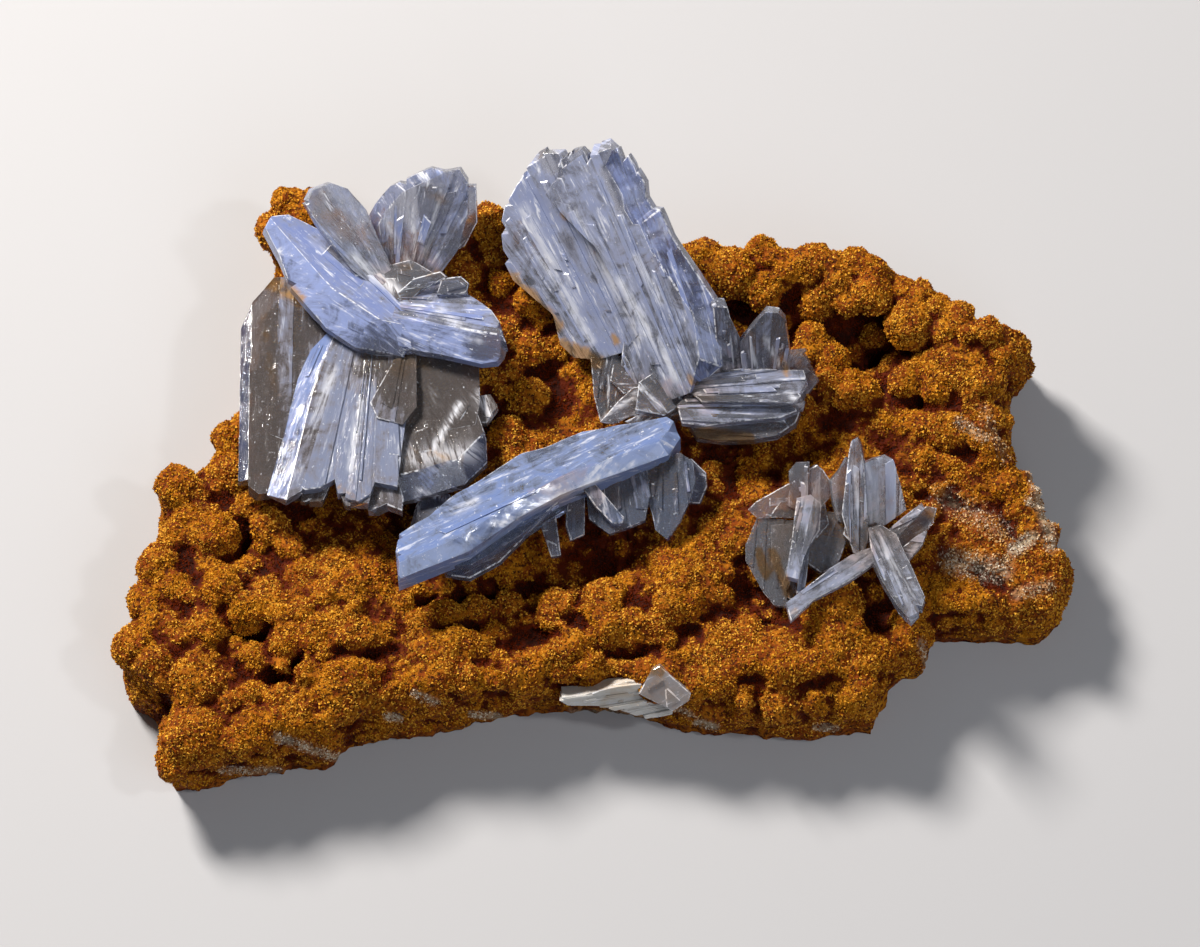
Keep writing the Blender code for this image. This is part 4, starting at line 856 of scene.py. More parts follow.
CENTRE_ROSETTE = [
    Blade([(-12.5, 31), (-11.9, 33.6), (-10, 37), (-8.1, 39.9), (-6.2, 41.1), (-5, 39.9),
           (-3.4, 37), (-1.2, 32.4), (1.4, 26.7), (5.2, 18), (3.1, 15.2), (-0.2, 14.2), (-3.4, 14.5),
           (-5, 16.1), (-6, 19.9), (-8.1, 21.7), (-11, 24.2), (-12.1, 26.5)],
          (6, 11), 2.2, (0.30, 0.56), 2.8, fan=(26, -30), laths=8, step=0.25, jag=2.2, milk=0.57),
    Blade([(-6.9, 34.8), (-4.4, 38.4), (-1.9, 40.2), (-1, 41.1), (0.4, 41.2), (1.5, 40.2),
           (2.5, 40.1), (5.1, 35.9), (5.3, 34), (6.1, 32.7), (7, 32.6), (8.5, 29.2), (14, 20.9),
           (14.6, 18), (14.7, 13), (11.2, 10), (8.7, 9.2), (6.4, 13), (3.4, 21.2), (-0.4, 28),
           (-4, 31.6)],
          (8, 10), 4.3, (0.31, 0.55), 3.2, fan=(34, -44), laths=8, step=0.25, jag=1.8,
          bands=[(6, 14, 2.9, 1.5)], milk=0.57),
    Blade([(-5.4, 37), (-4.8, 39.4), (-3.5, 40.3), (-2.4, 40.5), (-1.6, 39.6), (-0.8, 34)],
          (8, 10), 2.9, (0.30, 0.58), 1.8, fan=(26, -30), laths=3, jag=0.8, milk=0.3),
    Blade([(3.1, 18.6), (5.8, 18.2), (7.6, 15.2), (9.4, 10.4), (7, 8.6), (5, 10.6), (2.6, 13.6)],
          (7, 10), 2.0, (0.22, 0.50), 2.4, fan=(12, -6), laths=3, milk=0.5),
    Blade([(-1.2, 14.6), (2, 15), (4.6, 12.8), (4.4, 9.2), (1.6, 6.8), (0, 6.6), (-0.8, 9.8)],
          (4, 9), 0.8, (0.10, 0.34), 1.8, fan=(2, 30), laths=2, milk=0.3),
    Blade([(0, 6.5), (2.2, 9), (4.1, 10.8), (5.8, 11), (8, 9.6), (8.4, 7.8), (3.7, 7.2),
           (1.5, 6.2)],
          (6, 9), 2.3, (0.08, 0.22), 1.2, milk=0.15),
    Blade([(3.1, 6.5), (6.2, 8), (9.4, 9.3), (12, 9.6), (10.4, 7.6), (7.5, 6.8), (5, 5.9)],
          (8, 8), 2.9, (0.06, 0.30), 1.2, milk=0.3),
    Blade([(10.4, 11), (12.6, 12.7), (19, 13.2), (25.4, 13), (26.2, 10.6), (24, 8.8), (17.5, 8.9),
           (12.7, 9)],
          (12, 10), 5.4, (0.06, 0.02), 1.3, fan=(-10, 9), laths=4, step=0.25, jag=1.0, milk=0.4),
    Blade([(9.6, 8.6), (11, 10), (18, 10.6), (25.9, 10.4), (25.3, 8.2), (22.5, 7), (17, 6.5),
           (13, 6), (10.2, 6.4)],
          (12, 9), 4.4, (0.04, -0.03), 1.4, fan=(-10, 8), laths=4, step=0.25, jag=0.8, milk=0.4),
    Blade([(10.4, 7.6), (12.5, 9), (20, 9), (25, 8), (24.4, 6.4), (22, 4.8), (19, 4.3), (15, 4.2),
           (12, 4.6)],
          (12, 8), 2.9, (0.07, 0.02), 2.2, fan=(-10, 6), laths=3, step=0.3, jag=0.5, milk=0.35),
    Blade([(17.4, 16.2), (18.7, 17.8), (20.6, 20), (22.2, 19.9), (23, 19), (23.5, 16),
           (23.8, 12.6), (21, 9.6), (18, 11)],
          (21, 12), 5.0, (0.08, 0.85), 1.9, fan=(20, -2), laths=5, step=0.3, jag=0.6, milk=0.4),
    Blade([(14.1, 20.6), (14.8, 21.2), (15.7, 21.3), (16.3, 19.2), (17.6, 16.7), (18.4, 12.5),
           (16.5, 10.5), (14.4, 12), (14.5, 16)],
          (16, 12), 4.8, (-0.20, 0.80), 1.8, fan=(18, 0), laths=3, step=0.3, jag=1.5, milk=0.4),
    Blade([(23.5, 15.4), (25.6, 15.7), (26.1, 14), (27.2, 11.6), (26, 10), (21, 9.6), (22, 13)],
          (23, 11), 3.7, (0.16, 0.34), 1.4, fan=(14, 4), laths=4, step=0.3, jag=0.8, milk=0.4),
    root_prism(8.5, 9.5, 10, 5.5, 6, 15.6, 35),
    root_prism(13.5, 8, 8, 5, 6, 15.4, 5),
    root_prism(3.5, 12, 6, 4, 6, 14.2, 80)]

LONG_BLADE_CLUSTER = [
    Blade([(-25.3, -9.6), (-24.9, -7.4), (-23.5, -6.5), (-21.2, -5.2), (-18.7, -3), (-13.7, 0.1),
           (-10, 2.6), (-6.9, 3.4), (-2.2, 5.4), (5, 6.5), (8.3, 7.2), (9.2, 6.6), (10, 5.1), (8.5, 3),
           (5, 1.7), (-1.2, -0.5), (-5, -2), (-10, -4.7), (-16.2, -8.9), (-25, -12.4)],
          (-6, 0), 6.3, (0.03, -0.24), 4.2, fan=(145, 69), laths=4, step=0.25, jag=0.8,
          bands=[(12, 19, 1.7, 1.2)], milk=0.6, ledges=0.35),
    Blade([(-21.5, -11.6), (-16, -11.2), (-10, -7.6), (-5, -3.4), (2.5, -0.4), (7.6, 1.8),
           (5, 3.8), (-5, 0), (-14, -4.6)],
          (-6, -1), 3.7, (0.05, -0.20), 1.4, fan=(145, 69), laths=4, step=0.25, jag=0.8, milk=0.4),
    Blade([(-19.6, -12.4), (-16.2, -12.9), (-12.5, -10.9), (-9, -7.4), (-3, -3.6), (-2, -0.6),
           (-12, -5)],
          (-6, -2), 2.3, (0.06, -0.13), 1.3, fan=(145, 69), laths=3, step=0.25, jag=0.8, milk=0.3),
    Blade([(-7.8, -2), (-5.8, -2.6), (-4.9, -10.1), (-6.1, -10.3), (-7.3, -6.8)],
          (-6.5, -3), 2.8, (0.05, 0.12), 1.3, milk=0.3),
    Blade([(-3.9, -1), (-1.8, -1.6), (-1.9, -7.6), (-3.6, -8.3), (-4.2, -6.4)],
          (-3, -2), 3.0, (-0.12, 0.16), 1.4, milk=0.4),
    Blade([(-2.6, -1.2), (-1.1, -0.6), (3, -5.4), (2.8, -6.1), (1.6, -6.2), (-0.4, -4.2)],
          (0, -2), 4.6, (-0.04, 0.05), 1.3, milk=0.5),
    Blade([(-1.8, -1.6), (2.5, 0.6), (5.8, 1), (6.2, -2.6), (5.6, -5.8), (1.2, -7.5),
           (-1.4, -5.6)],
          (2, -1), 3.1, (0.04, 0.16), 1.8, fan=(0, 20), laths=3, step=0.3, jag=0.6, milk=0.2),
    Blade([(5.6, 1.4), (10, 2.6), (11.5, 1.5), (11.9, -0.7), (11.2, -3.2), (10, -5.8), (8.3, -8.2),
           (6.9, -7), (6, -3.2)],
          (8, 0), 3.4, (0.10, 0.22), 1.8, fan=(8, 24), laths=4, step=0.35, jag=0.8, milk=0.25),
    Blade([(8.6, 1.8), (11.4, 1.9), (13.2, 0.2), (13.3, -1.6), (12.4, -3.7), (9, -3.6)],
          (9, 0), 1.9, (0.12, 0.20), 1.4, milk=0.2),
    Blade([(-23.8, -6.8), (-23, -4), (-22.2, -2), (-21.2, -1.7), (-18.8, -2.4), (-17.6, -5),
           (-18.6, -8.4), (-22.4, -9.6)],
          (-21, -6), 3.0, (0.10, -0.40), 1.2, milk=0.15),
    root_prism(1, 0, 9, 4.5, 5, 15.4, 20),
    root_prism(8, -1, 6, 4, 6, 14.6, 70),
    root_prism(-9, -3.4, 9, 3.6, 5, 15.2, 28)]

PRISM_CLUSTER = [
    Blade([(30.9, 2.7), (31.2, 4), (31.9, 4.4), (32.3, 3.6), (32.7, 1.7), (33.1, -3.2),
           (33.3, -8.2), (32.7, -10.2), (31.4, -9.8), (30, -5.1), (30.5, -0.7)],
          (32, -8), 4.2, (0.10, 0.46), 1.9, fan=(32, -60), laths=2, step=0.3, milk=0.5),
    Blade([(28.7, -1), (30, 0.6), (30.8, 2), (31.8, -2), (31.4, -6.4), (29.6, -5.9), (29, -3.2)],
          (31, -5), 3.6, (-0.20, 0.40), 1.3, milk=0.4),
    Blade([(32.6, 1.1), (33.9, 1.7), (35.6, 2.2), (36.5, 1.7), (37.3, -1), (38.1, -4.5),
           (35.6, -6.4), (33.7, -7.4), (32.2, -5.7)],
          (34, -6), 3.5, (-0.08, 0.44), 2.0, fan=(36, -50), laths=4, step=0.35, jag=0.5, milk=0.45),
    Blade([(33.3, -6.8), (34.9, -6.2), (36.8, -7.4), (38.3, -10.7), (40.2, -15.1), (39.8, -16.6),
           (38.4, -18), (36.9, -16.4), (35, -13.2), (33.8, -10.6)],
          (35, -8), 5.3, (0.05, -0.06), 2.6, fan=(20, 24), laths=3, step=0.35, jag=0.8, milk=0.45),
    Blade([(23.1, -15.9), (25, -14.5), (28.7, -11.6), (31.2, -10), (34, -9), (34.2, -11),
           (31.2, -13.1), (26.5, -15.6), (23.7, -18.2), (23.4, -17.2)],
          (33, -10), 4.0, (-0.04, 0.04), 1.7, fan=(80, 20), laths=2, step=0.3, milk=0.5),
    Blade([(34.8, -7.8), (37.5, -5.5), (40, -3.6), (40.4, -4.3), (38.1, -6.6), (36.4, -8.8)],
          (36, -7), 4.4, (0.02, 0.10), 1.2, milk=0.5),
    Blade([(35.6, -8.4), (40.6, -3.9), (41.9, -4.2), (41.5, -5.8), (39.4, -8.4), (37, -10.4)],
          (37, -8), 3.3, (0.06, 0.06), 1.4, milk=0.25),
    Blade([(36.6, -9.8), (39.6, -7.6), (40.7, -7), (40.1, -8.7), (38.3, -10.8), (37, -11.6)],
          (37, -9), 3.6, (0.04, 0.02), 1.2, milk=0.4),
    Blade([(23.5, 0.3), (24.4, 1.4), (26.5, 1.5), (27.8, 0.4), (28.7, -1), (28.6, -3),
           (26.4, -5.4), (23.2, -4), (23.6, -2)],
          (26, -4), 3.4, (0.04, 0.36), 1.6, fan=(26, -30), laths=3, step=0.3, jag=0.4, milk=0.4),
    Blade([(18.4, -4.5), (19.4, -3.5), (23.5, -1.2), (26, -3), (25, -5.6), (21.9, -5.5),
           (19.6, -5.6)],
          (25, -4), 2.9, (0.04, 0.30), 1.4, milk=0.25),
    Blade([(24.5, -3), (26.2, -2.6), (27.4, -3.6), (26.8, -7), (25.2, -10.7), (24.6, -13.1),
           (23.1, -12.7), (23.7, -8.9)],
          (26, -5), 4.7, (-0.05, -0.02), 1.5, fan=(34, 30), laths=2, step=0.3, milk=0.55),
    Blade([(27.6, -3.4), (27.3, -7), (26.1, -8.9), (25.7, -12.6), (25.4, -14.6), (24.4, -14.8),
           (25, -10), (25.8, -4)],
          (26.6, -5), 3.4, (-0.02, 0.02), 1.3, milk=0.5),
    Blade([(25.6, -7.4), (28.1, -4.6), (31, -5), (30.6, -8.4), (29.5, -11.5), (27.5, -12.3),
           (25.6, -11)],
          (29, -6), 2.3, (0.02, 0.06), 1.5, milk=0.3),
    Blade([(19.6, -5.4), (21.2, -5.6), (24.6, -5.8), (25.4, -9), (24.2, -12.6), (24.5, -15.8),
           (23.1, -16.5), (21.9, -16.7), (20.2, -14.6), (18.1, -10.8), (18.1, -8.9)],
          (24, -7), 2.1, (0.10, 0.18), 1.6, fan=(22, 20), laths=3, step=0.3, jag=0.5, milk=0.1),
    Blade([(21.2, -6.4), (23.8, -6.2), (24.3, -8.9), (23.8, -12.6), (23, -14.4), (21.4, -11)],
          (23.6, -7), 3.3, (0.16, 0.14), 1.4, milk=0.15),
    root_prism(32.5, -7.6, 6, 4, 5, 15.4, 80),
    root_prism(26.5, -6, 6, 3.6, 5, 14.6, 100),
    root_prism(29.6, -7, 6.4, 3, 6, 13.6, -10)]

EDGE_SPAR = [
    Blade([(-5.6, -28.1), (-2, -27.7), (0.4, -26.8), (3.7, -26), (6.2, -26.2), (8.2, -27),
           (9, -28.6), (9, -30.2), (5, -30.6), (1.2, -29.3), (-3.6, -29.2)],
          (3, -27), -1.4, (0.04, 0.85), 3.6, fan=(40, -22), laths=15, step=0.9, jag=2.0, milk=0.95,
          ledges=0.85),
    Blade([(4.8, -27.4), (6.4, -24.4), (7.4, -23.9), (11.3, -27.4), (11, -28.3), (9, -29.6)],
          (8, -27), -0.4, (0.05, 0.60), 1.4, milk=0.3)]

# Each group of crystals: its blades, the solid that it stands for, its slot in the record and its finish.
CLUSTERS = {
    "lavender_rosette": (UPPER_LEFT_ROSETTE, "upper_left_rosette", "blue_barite", "lavender_barite"),
    "clear_fan": (LOWER_LEFT_BLADES, "lower_left_blades", "clear_barite", "clear_grey_barite"),
    "great_blades": (CENTRE_ROSETTE, "centre_rosette", "blue_barite", "milky_blue_barite"),
    "long_bar": (LONG_BLADE_CLUSTER, "long_blade_cluster", "blue_barite", "sky_blue_barite"),
    "prism_sheaf": (PRISM_CLUSTER, "prism_cluster", "grey_barite", "smoky_barite"),
    "white_spar": (EDGE_SPAR, "edge_spar", "white_barite", "frosted_white_barite")}


def in_triangles(form):
    """Turn a bmesh's faces into triangles, without those that lie back to back on the same corners."""
    bmesh.ops.triangulate(form, faces=[face for face in form.faces if len(face.verts) > 3])
    found = {}
    for face in form.faces:
        found.setdefault(frozenset(face.verts), []).append(face)
    doubled = [face for alike in found.values() for face in alike[len(alike) % 2:]]
    bmesh.ops.delete(form, geom=doubled, context='FACES')


def split_long_edges(form, longest):
    """Divide a bmesh's faces until no edge is much longer than a length in mm."""
    most_rounds = 7
    in_triangles(form)
    for step in range(most_rounds):
        long_edges = [edge for edge in form.edges if edge.calc_length() > longest * MM]
        if not long_edges:
            break
        bmesh.ops.subdivide_edges(form, edges=long_edges, cuts=1)
        in_triangles(form)


def painted(mesh, shift, lists):
    """Point attributes of a mesh from lists of strokes in the layout view, by name."""
    place = (corner_values(mesh, "co") - np.array(shift, dtype=np.float32)) / MM
    right = place[:, 0]
    up = (place[:, 1] + (place[:, 2] - CRUST_LEVEL) * SIGHT_LEAN) * SIGHT_RISE
    for name, marks in lists.items():
        put_on_points(mesh, name, strokes(right, up, marks))


def weathered(body, shift):
    """Ripple a crystal group's faces a little along every direction, and paint its marks."""
    mesh = body.data
    form = bmesh.new()
    form.from_mesh(mesh)
    split_long_edges(form, LONGEST_EDGE)
    form.to_mesh(mesh)
    form.free()
    place = corner_values(mesh, "co")
    facing = corner_values(mesh, "normal")
    for number in range(len(place)):
        spot = Vector(place[number].tolist())
        ripple = sum(height * noise.noise(spot / (length * MM)) for height, length in RIPPLES)
        place[number] += facing[number] * ripple * MM
    mesh.vertices.foreach_set("co", place.ravel())
    painted(mesh, shift, {"rust": RUST_STAINS, "feathers_and_painted_glints": WHITE_FEATHERS_AND_GLINTS, "window": CLEAR_WINDOWS})
    mesh.shade_smooth()
    mesh.set_sharp_from_angle(angle=math.radians(22))
    mesh.update()


def grown_together(name, blades, shift, seed):
    """One solid of a group's laths, which grew into each other."""
    dice = random.Random(seed)
    laths = [form for blade in blades for form in blade.forms(dice)]
    body = new_piece(name, laths[0], shift)
    others = bpy.data.collections.new(name)
    bpy.context.scene.collection.children.link(others)
    for number, form in enumerate(laths[1:]):
        other = new_piece(f"{name}_lath_{number}", form, shift)
        bpy.context.scene.collection.objects.unlink(other)
        others.objects.link(other)
    join = body.modifiers.new("grown together", 'BOOLEAN')
    join.operation = 'UNION'
    join.operand_type = 'COLLECTION'
    join.collection = others
    join.solver = 'MANIFOLD'
    carry_out(body)
    for other in list(others.objects):
        bpy.data.objects.remove(other)
    bpy.data.collections.remove(others)
    weathered(body, shift)
    return body


# Materials.

def colour(code):
    """Linear colour of an sRGB hex value."""
    parts = [int(code[place:place + 2], 16) / 255 for place in (1, 3, 5)]
    linear = [part / 12.92 if part <= 0.04045 else ((part + 0.055) / 1.055) ** 2.4 for part in parts]
    return (*linear, 1.0)


def add(tree, kind, *given, **settings):
    """Add a node with its settings. Its inputs are given in order, or by number or name in a dict.

    Each is a value, another node's output, or a node, of which the first output is taken.
    """
    node = tree.nodes.new(kind)
    for name, value in settings.items():
        setattr(node, name, value)
    inputs = given[0] if given and isinstance(given[0], dict) else dict(enumerate(given))
    for name, value in inputs.items():
        if isinstance(value, bpy.types.Node):
            value = value.outputs[0]
        if isinstance(value, bpy.types.NodeSocket):
            tree.links.new(value, node.inputs[name])
        else:
            node.inputs[name].default_value = value
    return node


def new_material(name):
    """Empty material and its node tree."""
    material = bpy.data.materials.new(name)
    material.use_nodes = True
    material.node_tree.nodes.clear()
    return material, material.node_tree


def layered(tree, under, *layers):
    """A colour with others laid over it in turn.

    Before each of these stands its share, from 0 to 1, or a value and the limits between which it sets in.
    """
    for *share, over in layers:
        if len(share) == 3:
            share = [add(tree, RANGE, *share, **SMOOTHLY)]
        under = add(tree, "ShaderNodeMix", {0: share[0], 6: under, 7: over}, data_type='RGBA').outputs[2]
    return under


def pale_share(tree, uneven):
    """How far the crust is whitened, from 0 to 1, broken up by an uneven value."""
    pale = add(tree, "ShaderNodeAttribute", attribute_name="pale").outputs["Fac"]
    broken = add(tree, MATH, pale, add(tree, MATH, uneven, 0.25, **PLUS), **TIMES)
    return add(tree, RANGE, broken, 0.3, 0.9, **SMOOTHLY)


def limonite():
    """Limonite: earthy iron rust grown in knobs, matt, grainy and golden, with painted shade that makes it
    red-brown in the hollows and the grain's pits and near black in the deepest.

    Its tone changes over 7 mm and over 1.6 mm, and its grain and pits are half a millimetre across.
    """
    material, tree = new_material("earthy_limonite")
    place = add(tree, "ShaderNodeTexCoord").outputs["Object"]
    hollow = add(tree, "ShaderNodeAttribute", attribute_name="hollow").outputs["Fac"]
    broad, middling, grain = [
        add(tree, NOISE, {"Vector": place, "Scale": 1 / (size * MM), "Detail": detail, "Roughness": rough})
        for size, detail, rough in ((7, 3, 0.5), (1.6, 3, 0.5), (0.5, 4, 0.65))]
    pits = add(tree, "ShaderNodeTexVoronoi", {"Vector": place, "Scale": 1 / (0.55 * MM)})
    depth = add(tree, MATH, hollow, add(tree, MATH, grain, 0.3, **TIMES), **PLUS)
    gold = layered(tree, colour("#98520a"), (broad, 0.35, 0.65, colour("#b0700e")))
    # Gold mottled at random and whitish crust over it, with painted shade: darker with the grain where the
    # bump sinks it, partly painted shade in the pits, and in the hollows, down to near black in the
    # deepest.
    shade = layered(tree, colour("#783604"), (middling, 0.40, 0.60, gold),
                    (grain, 0.52, 0.40, colour("#401a02")), (depth, 0.50, 0.85, colour("#4e1600")),
                    (depth, 0.9, 1.25, colour("#1a0400")), (pale_share(tree, grain), colour("#a8957a")))
    height = add(tree, MATH, grain, add(tree, MATH, pits, 0.5, **TIMES), **LESS)
    bump = add(tree, "ShaderNodeBump", {"Height": height, "Strength": 0.9, "Distance": 0.25 * MM})
    shader = add(tree, "ShaderNodeBsdfPrincipled", {
        "Base Color": shade, "Roughness": 0.85, "Specular IOR Level": 0.15, "Normal": bump})
    add(tree, "ShaderNodeOutputMaterial", {"Surface": shader})
    return material


def limonite_dust():
    """Loose limonite grains: the same rust, brighter where the light has bleached each grain, and darkened
    in the crust's hollows as painted shade.
    """
    material, tree = new_material("loose_limonite_grains")
    place = add(tree, "ShaderNodeTexCoord").outputs["Object"]
    hollow, tone = [add(tree, "ShaderNodeAttribute", attribute_name=mark).outputs["Fac"]
                    for mark in ("hollow", "tone")]
    broad, fine = [add(tree, NOISE, {"Vector": place, "Scale": 1 / (size * MM), "Detail": detail})
                   for size, detail in ((6, 3), (0.15, 2))]
    patches = add(tree, MATH, add(tree, RANGE, broad, 0.40, 0.62, **SMOOTHLY), 0.5, **TIMES)
    # Grains toned at random, and darkened in the crust's hollows as painted shade.
    gold = layered(tree, colour("#743404"), (tone, 0.10, 1.0, colour("#e2a83a")),
                   (patches, colour("#b4740a")), (hollow, 0.35, 0.80, colour("#501800")),
                   (pale_share(tree, tone), colour("#cfc4b2")))
    bump = add(tree, "ShaderNodeBump", {"Height": fine, "Strength": 0.5, "Distance": 0.08 * MM})
    shader = add(tree, "ShaderNodeBsdfPrincipled", {
        "Base Color": gold, "Roughness": 0.8, "Specular IOR Level": 0.05, "Normal": bump})
    add(tree, "ShaderNodeOutputMaterial", {"Surface": shader})
    return material


def barite(name, clear, cloud, slope, clearest, cloudiest, whiteness, density):
    """Barite: pale blue, glassy crystal with milky veils and white feathers along its growth.

    It is given its clear and its cloudy colour and that of its sloping faces. `clearest` and `cloudiest`
    are how much light passes through its clear and its milky parts, `whiteness` how white its feathers
    are, and `density` how fast its inside swallows light. The veils are 3.2 mm across and the flecks
    half a millimetre. The white flecks are painted glints, the listed white strokes hold painted glints
    and bright rims among the white feathers, and the white of the frosted rims is partly painted
    highlight. The IOR is barite's own.
    """
    material, tree = new_material(name)
    place = add(tree, "ShaderNodeTexCoord").outputs["Object"]
    grain = add(tree, "ShaderNodeUVMap", uv_map="grain")
    from_root = add(tree, "ShaderNodeSeparateXYZ", add(tree, "ShaderNodeUVMap", uv_map="reach"))
    milk, band, frost_and_painted_highlight, rusty, rust, feathers_and_painted_glints, window = [
        add(tree, "ShaderNodeAttribute", attribute_name=mark).outputs["Fac"]
        for mark in ("milk", "band", "frost_and_painted_highlight", "stain", "rust", "feathers_and_painted_glints", "window")]
    along, closer = [add(tree, "ShaderNodeMapping", {"Vector": grain, "Scale": scale})
                     for scale in (FEATHER_GRAIN, FIBRE_GRAIN)]
    feathers, fibres, veils, flecks = [
        add(tree, NOISE, {"Vector": vector, "Scale": scale, "Detail": detail, "Roughness": rough,
                          "Distortion": bent})
        for vector, scale, detail, rough, bent in (
            (along, 1.0, 6, 0.66, 0.7), (closer, 1.0, 4, 0.65, 0.5),
            (place, 1 / (3.2 * MM), 7, 0.66, 0.9), (place, 1 / (0.5 * MM), 3, 0.7, 0.0))]

    # Milk and white feathers, with white flecks and listed strokes painted as glints.
    mottle = add(tree, MATH, add(tree, MATH, feathers, 0.6, **TIMES),
                 add(tree, MATH, veils, 0.8, **TIMES), **PLUS)
    cloudy = add(tree, MATH, mottle, add(tree, MATH, milk, 0.7, **LESS), **PLUS)
    cloudy = add(tree, MATH, cloudy, add(tree, MATH, window, 0.5, **TIMES), **LESS)
    milky = add(tree, RANGE, cloudy, 0.28, 0.72, **SMOOTHLY)
    streaks = add(tree, MATH, feathers, add(tree, MATH, fibres, 0.45, **TIMES), **PLUS)
    white = add(tree, MATH, add(tree, RANGE, streaks, 0.78, 0.94, **SMOOTHLY), whiteness, **TIMES)
    # The listed white strokes: white feathers, with painted glints and painted bright rims among them.
    sown = add(tree, MATH, feathers_and_painted_glints, add(tree, RANGE, streaks, 0.58, 0.80, **SMOOTHLY), **TIMES)
    # White flecks along the fibres, painted as glints.
    painted_glints = add(tree, MATH, add(tree, RANGE, flecks, 0.62, 0.68, **SMOOTHLY),
                add(tree, RANGE, fibres, 0.48, 0.58, **SMOOTHLY), **TIMES)
    white = add(tree, MATH, add(tree, MATH, white, painted_glints, **LARGER), sown, **LARGER)
    # Frosted rims, white partly as real frost and partly as painted highlight along the edges.
    rim = add(tree, MATH, frost_and_painted_highlight, add(tree, RANGE, flecks, 0.38, 0.56, **SMOOTHLY), **TIMES)

    # Rust, soaked in at the root and in spots.
    soaked = add(tree, MATH, from_root, add(tree, MATH, veils, 12.0, **TIMES), **LESS)
    soaked = add(tree, MATH, add(tree, RANGE, soaked, -1.0, -5.0, **SMOOTHLY), rusty, **TIMES)
    spots = add(tree, MATH, rust, add(tree, MATH, veils, 1.4, **TIMES), **PLUS)
    spots = add(tree, MATH, add(tree, RANGE, spots, 1.05, 1.5, **SMOOTHLY), 0.7, **TIMES)
    soaked = add(tree, MATH, soaked, spots, **LARGER)

    tint = layered(tree, clear, (milky, cloud), (add(tree, MATH, band, 0.7, **TIMES), slope),
                   (white, colour("#e6e9f2")), (add(tree, MATH, rim, 0.9, **TIMES), colour("#eef1f9")),
                   (soaked, colour("#b8860c")))
    opaque = add(tree, MATH, milky, add(tree, MATH, white, 0.8, **TIMES), **LARGER)
    clearness = add(tree, MATH, add(tree, RANGE, opaque, 0.0, 1.0, clearest, cloudiest, **SMOOTHLY),
                    add(tree, RANGE, rim, 0.0, 1.0, 1.0, 0.4, **SMOOTHLY), **TIMES)
    gloss = add(tree, RANGE, fibres, 0.3, 0.7, 0.05, 0.22, **SMOOTHLY)
    ridges = add(tree, MATH, fibres, add(tree, MATH, feathers, 1.5, **TIMES), **PLUS)
    bump = add(tree, "ShaderNodeBump", {"Height": ridges, "Strength": 0.25, "Distance": 0.1 * MM})
    shader = add(tree, "ShaderNodeBsdfPrincipled", {
        "Base Color": tint, "Roughness": gloss, "IOR": 1.636, "Transmission Weight": clearness,
        "Subsurface Weight": 0.2, "Subsurface Scale": 1.0 * MM, "Subsurface Radius": (0.8, 0.9, 1.0),
        "Normal": bump})
    inside = add(tree, "ShaderNodeVolumeAbsorption", {"Color": cloud, "Density": density})
    add(tree, "ShaderNodeOutputMaterial", {"Surface": shader, "Volume": inside})
    return material


def barite_finishes():
    """Every look of barite: its colours and values, in the order that `barite` takes them."""
    looks = {
        "lavender_barite": ("#b6bac8", "#7b8aba", "#95a5d4", 0.82, 0.12, 0.9, 60.0),
        "clear_grey_barite": ("#9a918f", "#7b849e", "#6179b2", 0.82, 0.18, 0.35, 330.0),
        "milky_blue_barite": ("#b8bcca", "#8e98ba", "#7586bc", 0.86, 0.12, 0.9, 60.0),
        "sky_blue_barite": ("#a4b0ca", "#7084b4", "#8fa2ce", 0.84, 0.12, 0.7, 80.0),
        "smoky_barite": ("#babeca", "#939cb8", "#8c9bc6", 0.86, 0.18, 0.45, 60.0),
        "frosted_white_barite": ("#dcdde4", "#d8d6d2", "#dddde4", 0.60, 0.10, 1.0, 40.0)}
    return {name: barite(name, colour(clear), colour(cloud), colour(slope), *rest)
            for name, (clear, cloud, slope, *rest) in looks.items()}


# Stage.

def soft_light(name, place, size, power, tone):
    """Square studio light at a place in mm, aimed at the specimen's middle."""
    middle = Vector((0, 0, 10))
    light = bpy.data.lights.new(name, 'AREA')
    light.size = size * MM
    light.energy = power
    light.color = colour(tone)[:3]
    lamp = bpy.data.objects.new(name, light)
    bpy.context.scene.collection.objects.link(lamp)
    lamp.location = Vector(place) * MM
    lamp.rotation_euler = (Vector(place) - middle).to_track_quat('Z', 'Y').to_euler()


def pale_floor():
    """Wide matt table top under the specimen."""
    half_side = 4.0
    form = bmesh.new()
    bmesh.ops.create_grid(form, x_segments=1, y_segments=1, size=half_side)
    floor = new_piece("floor", form, Vector((0, 0, 0)))
    material, tree = new_material("pale_table")
    shader = add(tree, "ShaderNodeBsdfPrincipled", {"Base Color": colour("#b6b7ba"), "Roughness": 0.9})
    add(tree, "ShaderNodeOutputMaterial", {"Surface": shader})
    floor.data.materials.append(material)


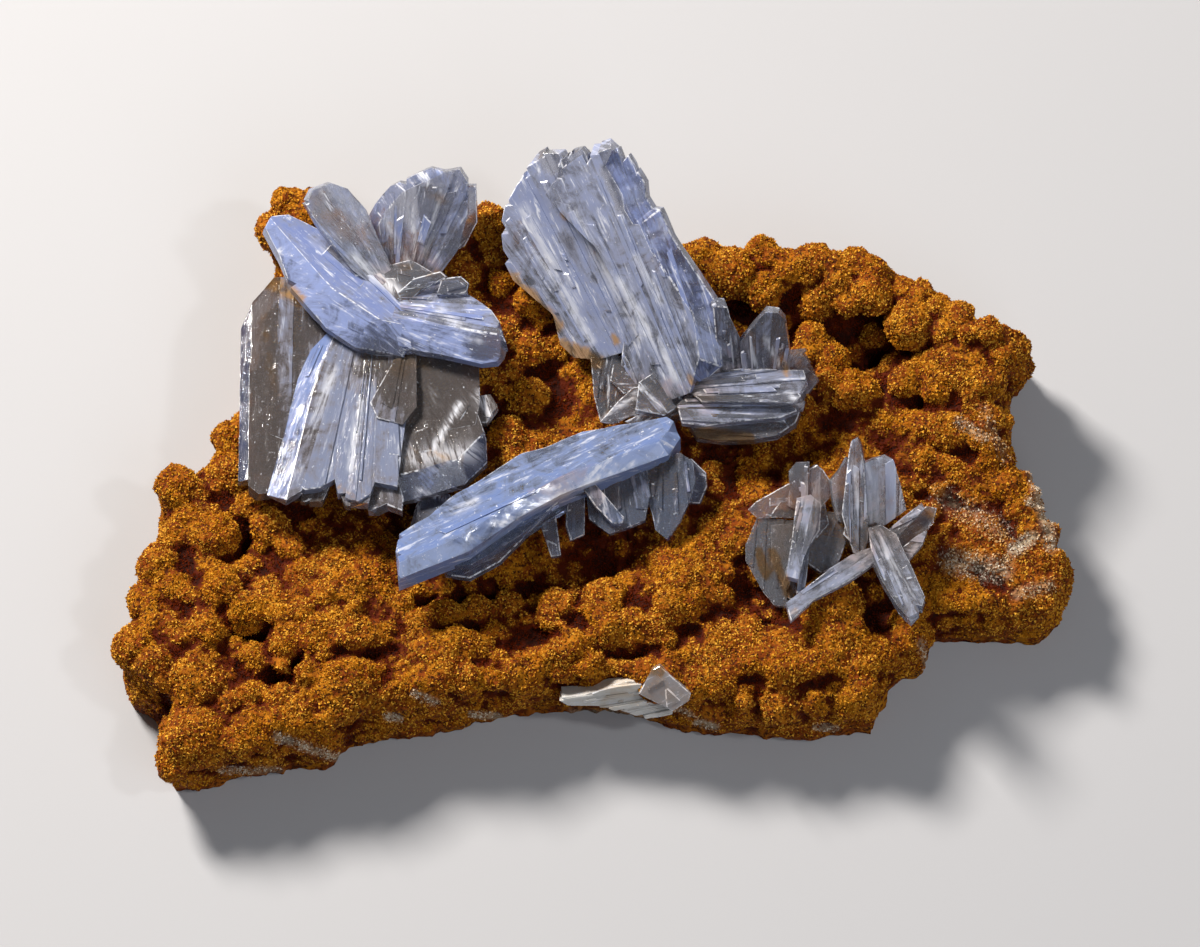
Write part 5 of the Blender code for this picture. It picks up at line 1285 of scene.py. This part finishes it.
def studio():
    """Table, dim surroundings and three soft lights."""
    pale_floor()
    world = bpy.data.worlds.new("studio")
    world.use_nodes = True
    background = world.node_tree.nodes["Background"]
    background.inputs["Color"].default_value = colour("#f0eeec")
    background.inputs["Strength"].default_value = 0.10
    bpy.context.scene.world = world
    soft_light("window", (-400, 440, 500), size=180, power=12, tone="#fff8f0")
    soft_light("fill", (300, -420, 520), size=420, power=1.1, tone="#eef3ff")
    soft_light("sparkle", (380, -120, 640), size=60, power=0.8, tone="#ffffff")
    bpy.context.scene.view_settings.view_transform = 'Standard'


def photo_camera(shift):
    """Camera at the photograph's angle, far off, with the photograph's 1200 pixels at 8 to a millimetre."""
    seen_across = 1200 / 8 * MM
    camera = bpy.data.cameras.new("camera")
    camera.lens = 300
    camera.sensor_width = 36
    distance = seen_across * camera.lens / camera.sensor_width
    eye = bpy.data.objects.new("camera", camera)
    bpy.context.scene.collection.objects.link(eye)
    middle = Vector((0, 0, CRUST_LEVEL * MM)) + shift
    eye.location = middle + Vector((0, -math.cos(VIEW_ELEVATION), math.sin(VIEW_ELEVATION))) * distance
    eye.rotation_euler = (math.pi / 2 - VIEW_ELEVATION, 0, 0)
    camera.clip_end = 20
    bpy.context.scene.camera = eye


def layout_shift():
    """How far the layout was moved so that the frame's origin lies under the middle of its box."""
    return Vector((0.6139, -0.5236, 0)) * MM


def main():
    """Draw the studio, the crust with its loose grains, and the groups of crystals."""
    shift = layout_shift()
    studio()
    photo_camera(shift)
    crust = limonite_crust(shift)
    crust.data.materials.append(limonite())
    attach(crust, "root")
    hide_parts("limonite_matrix")
    dust = limonite_dust()
    for number, (west, east) in enumerate(GRAIN_FIELDS):
        grains = loose_grains(f"limonite_grains_{number + 1}", crust, west, east, 40 + number)
        grains.data.materials.clear()
        grains.data.materials.append(dust)
        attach(grains, "root")
    finishes = barite_finishes()
    for seed, (name, (blades, node, slot, finish)) in enumerate(CLUSTERS.items()):
        body = grown_together(name, blades, shift, seed)
        body.data.materials.clear()
        body.data.materials.append(finishes[finish])
        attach(body, "root")
        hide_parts(node)


main()
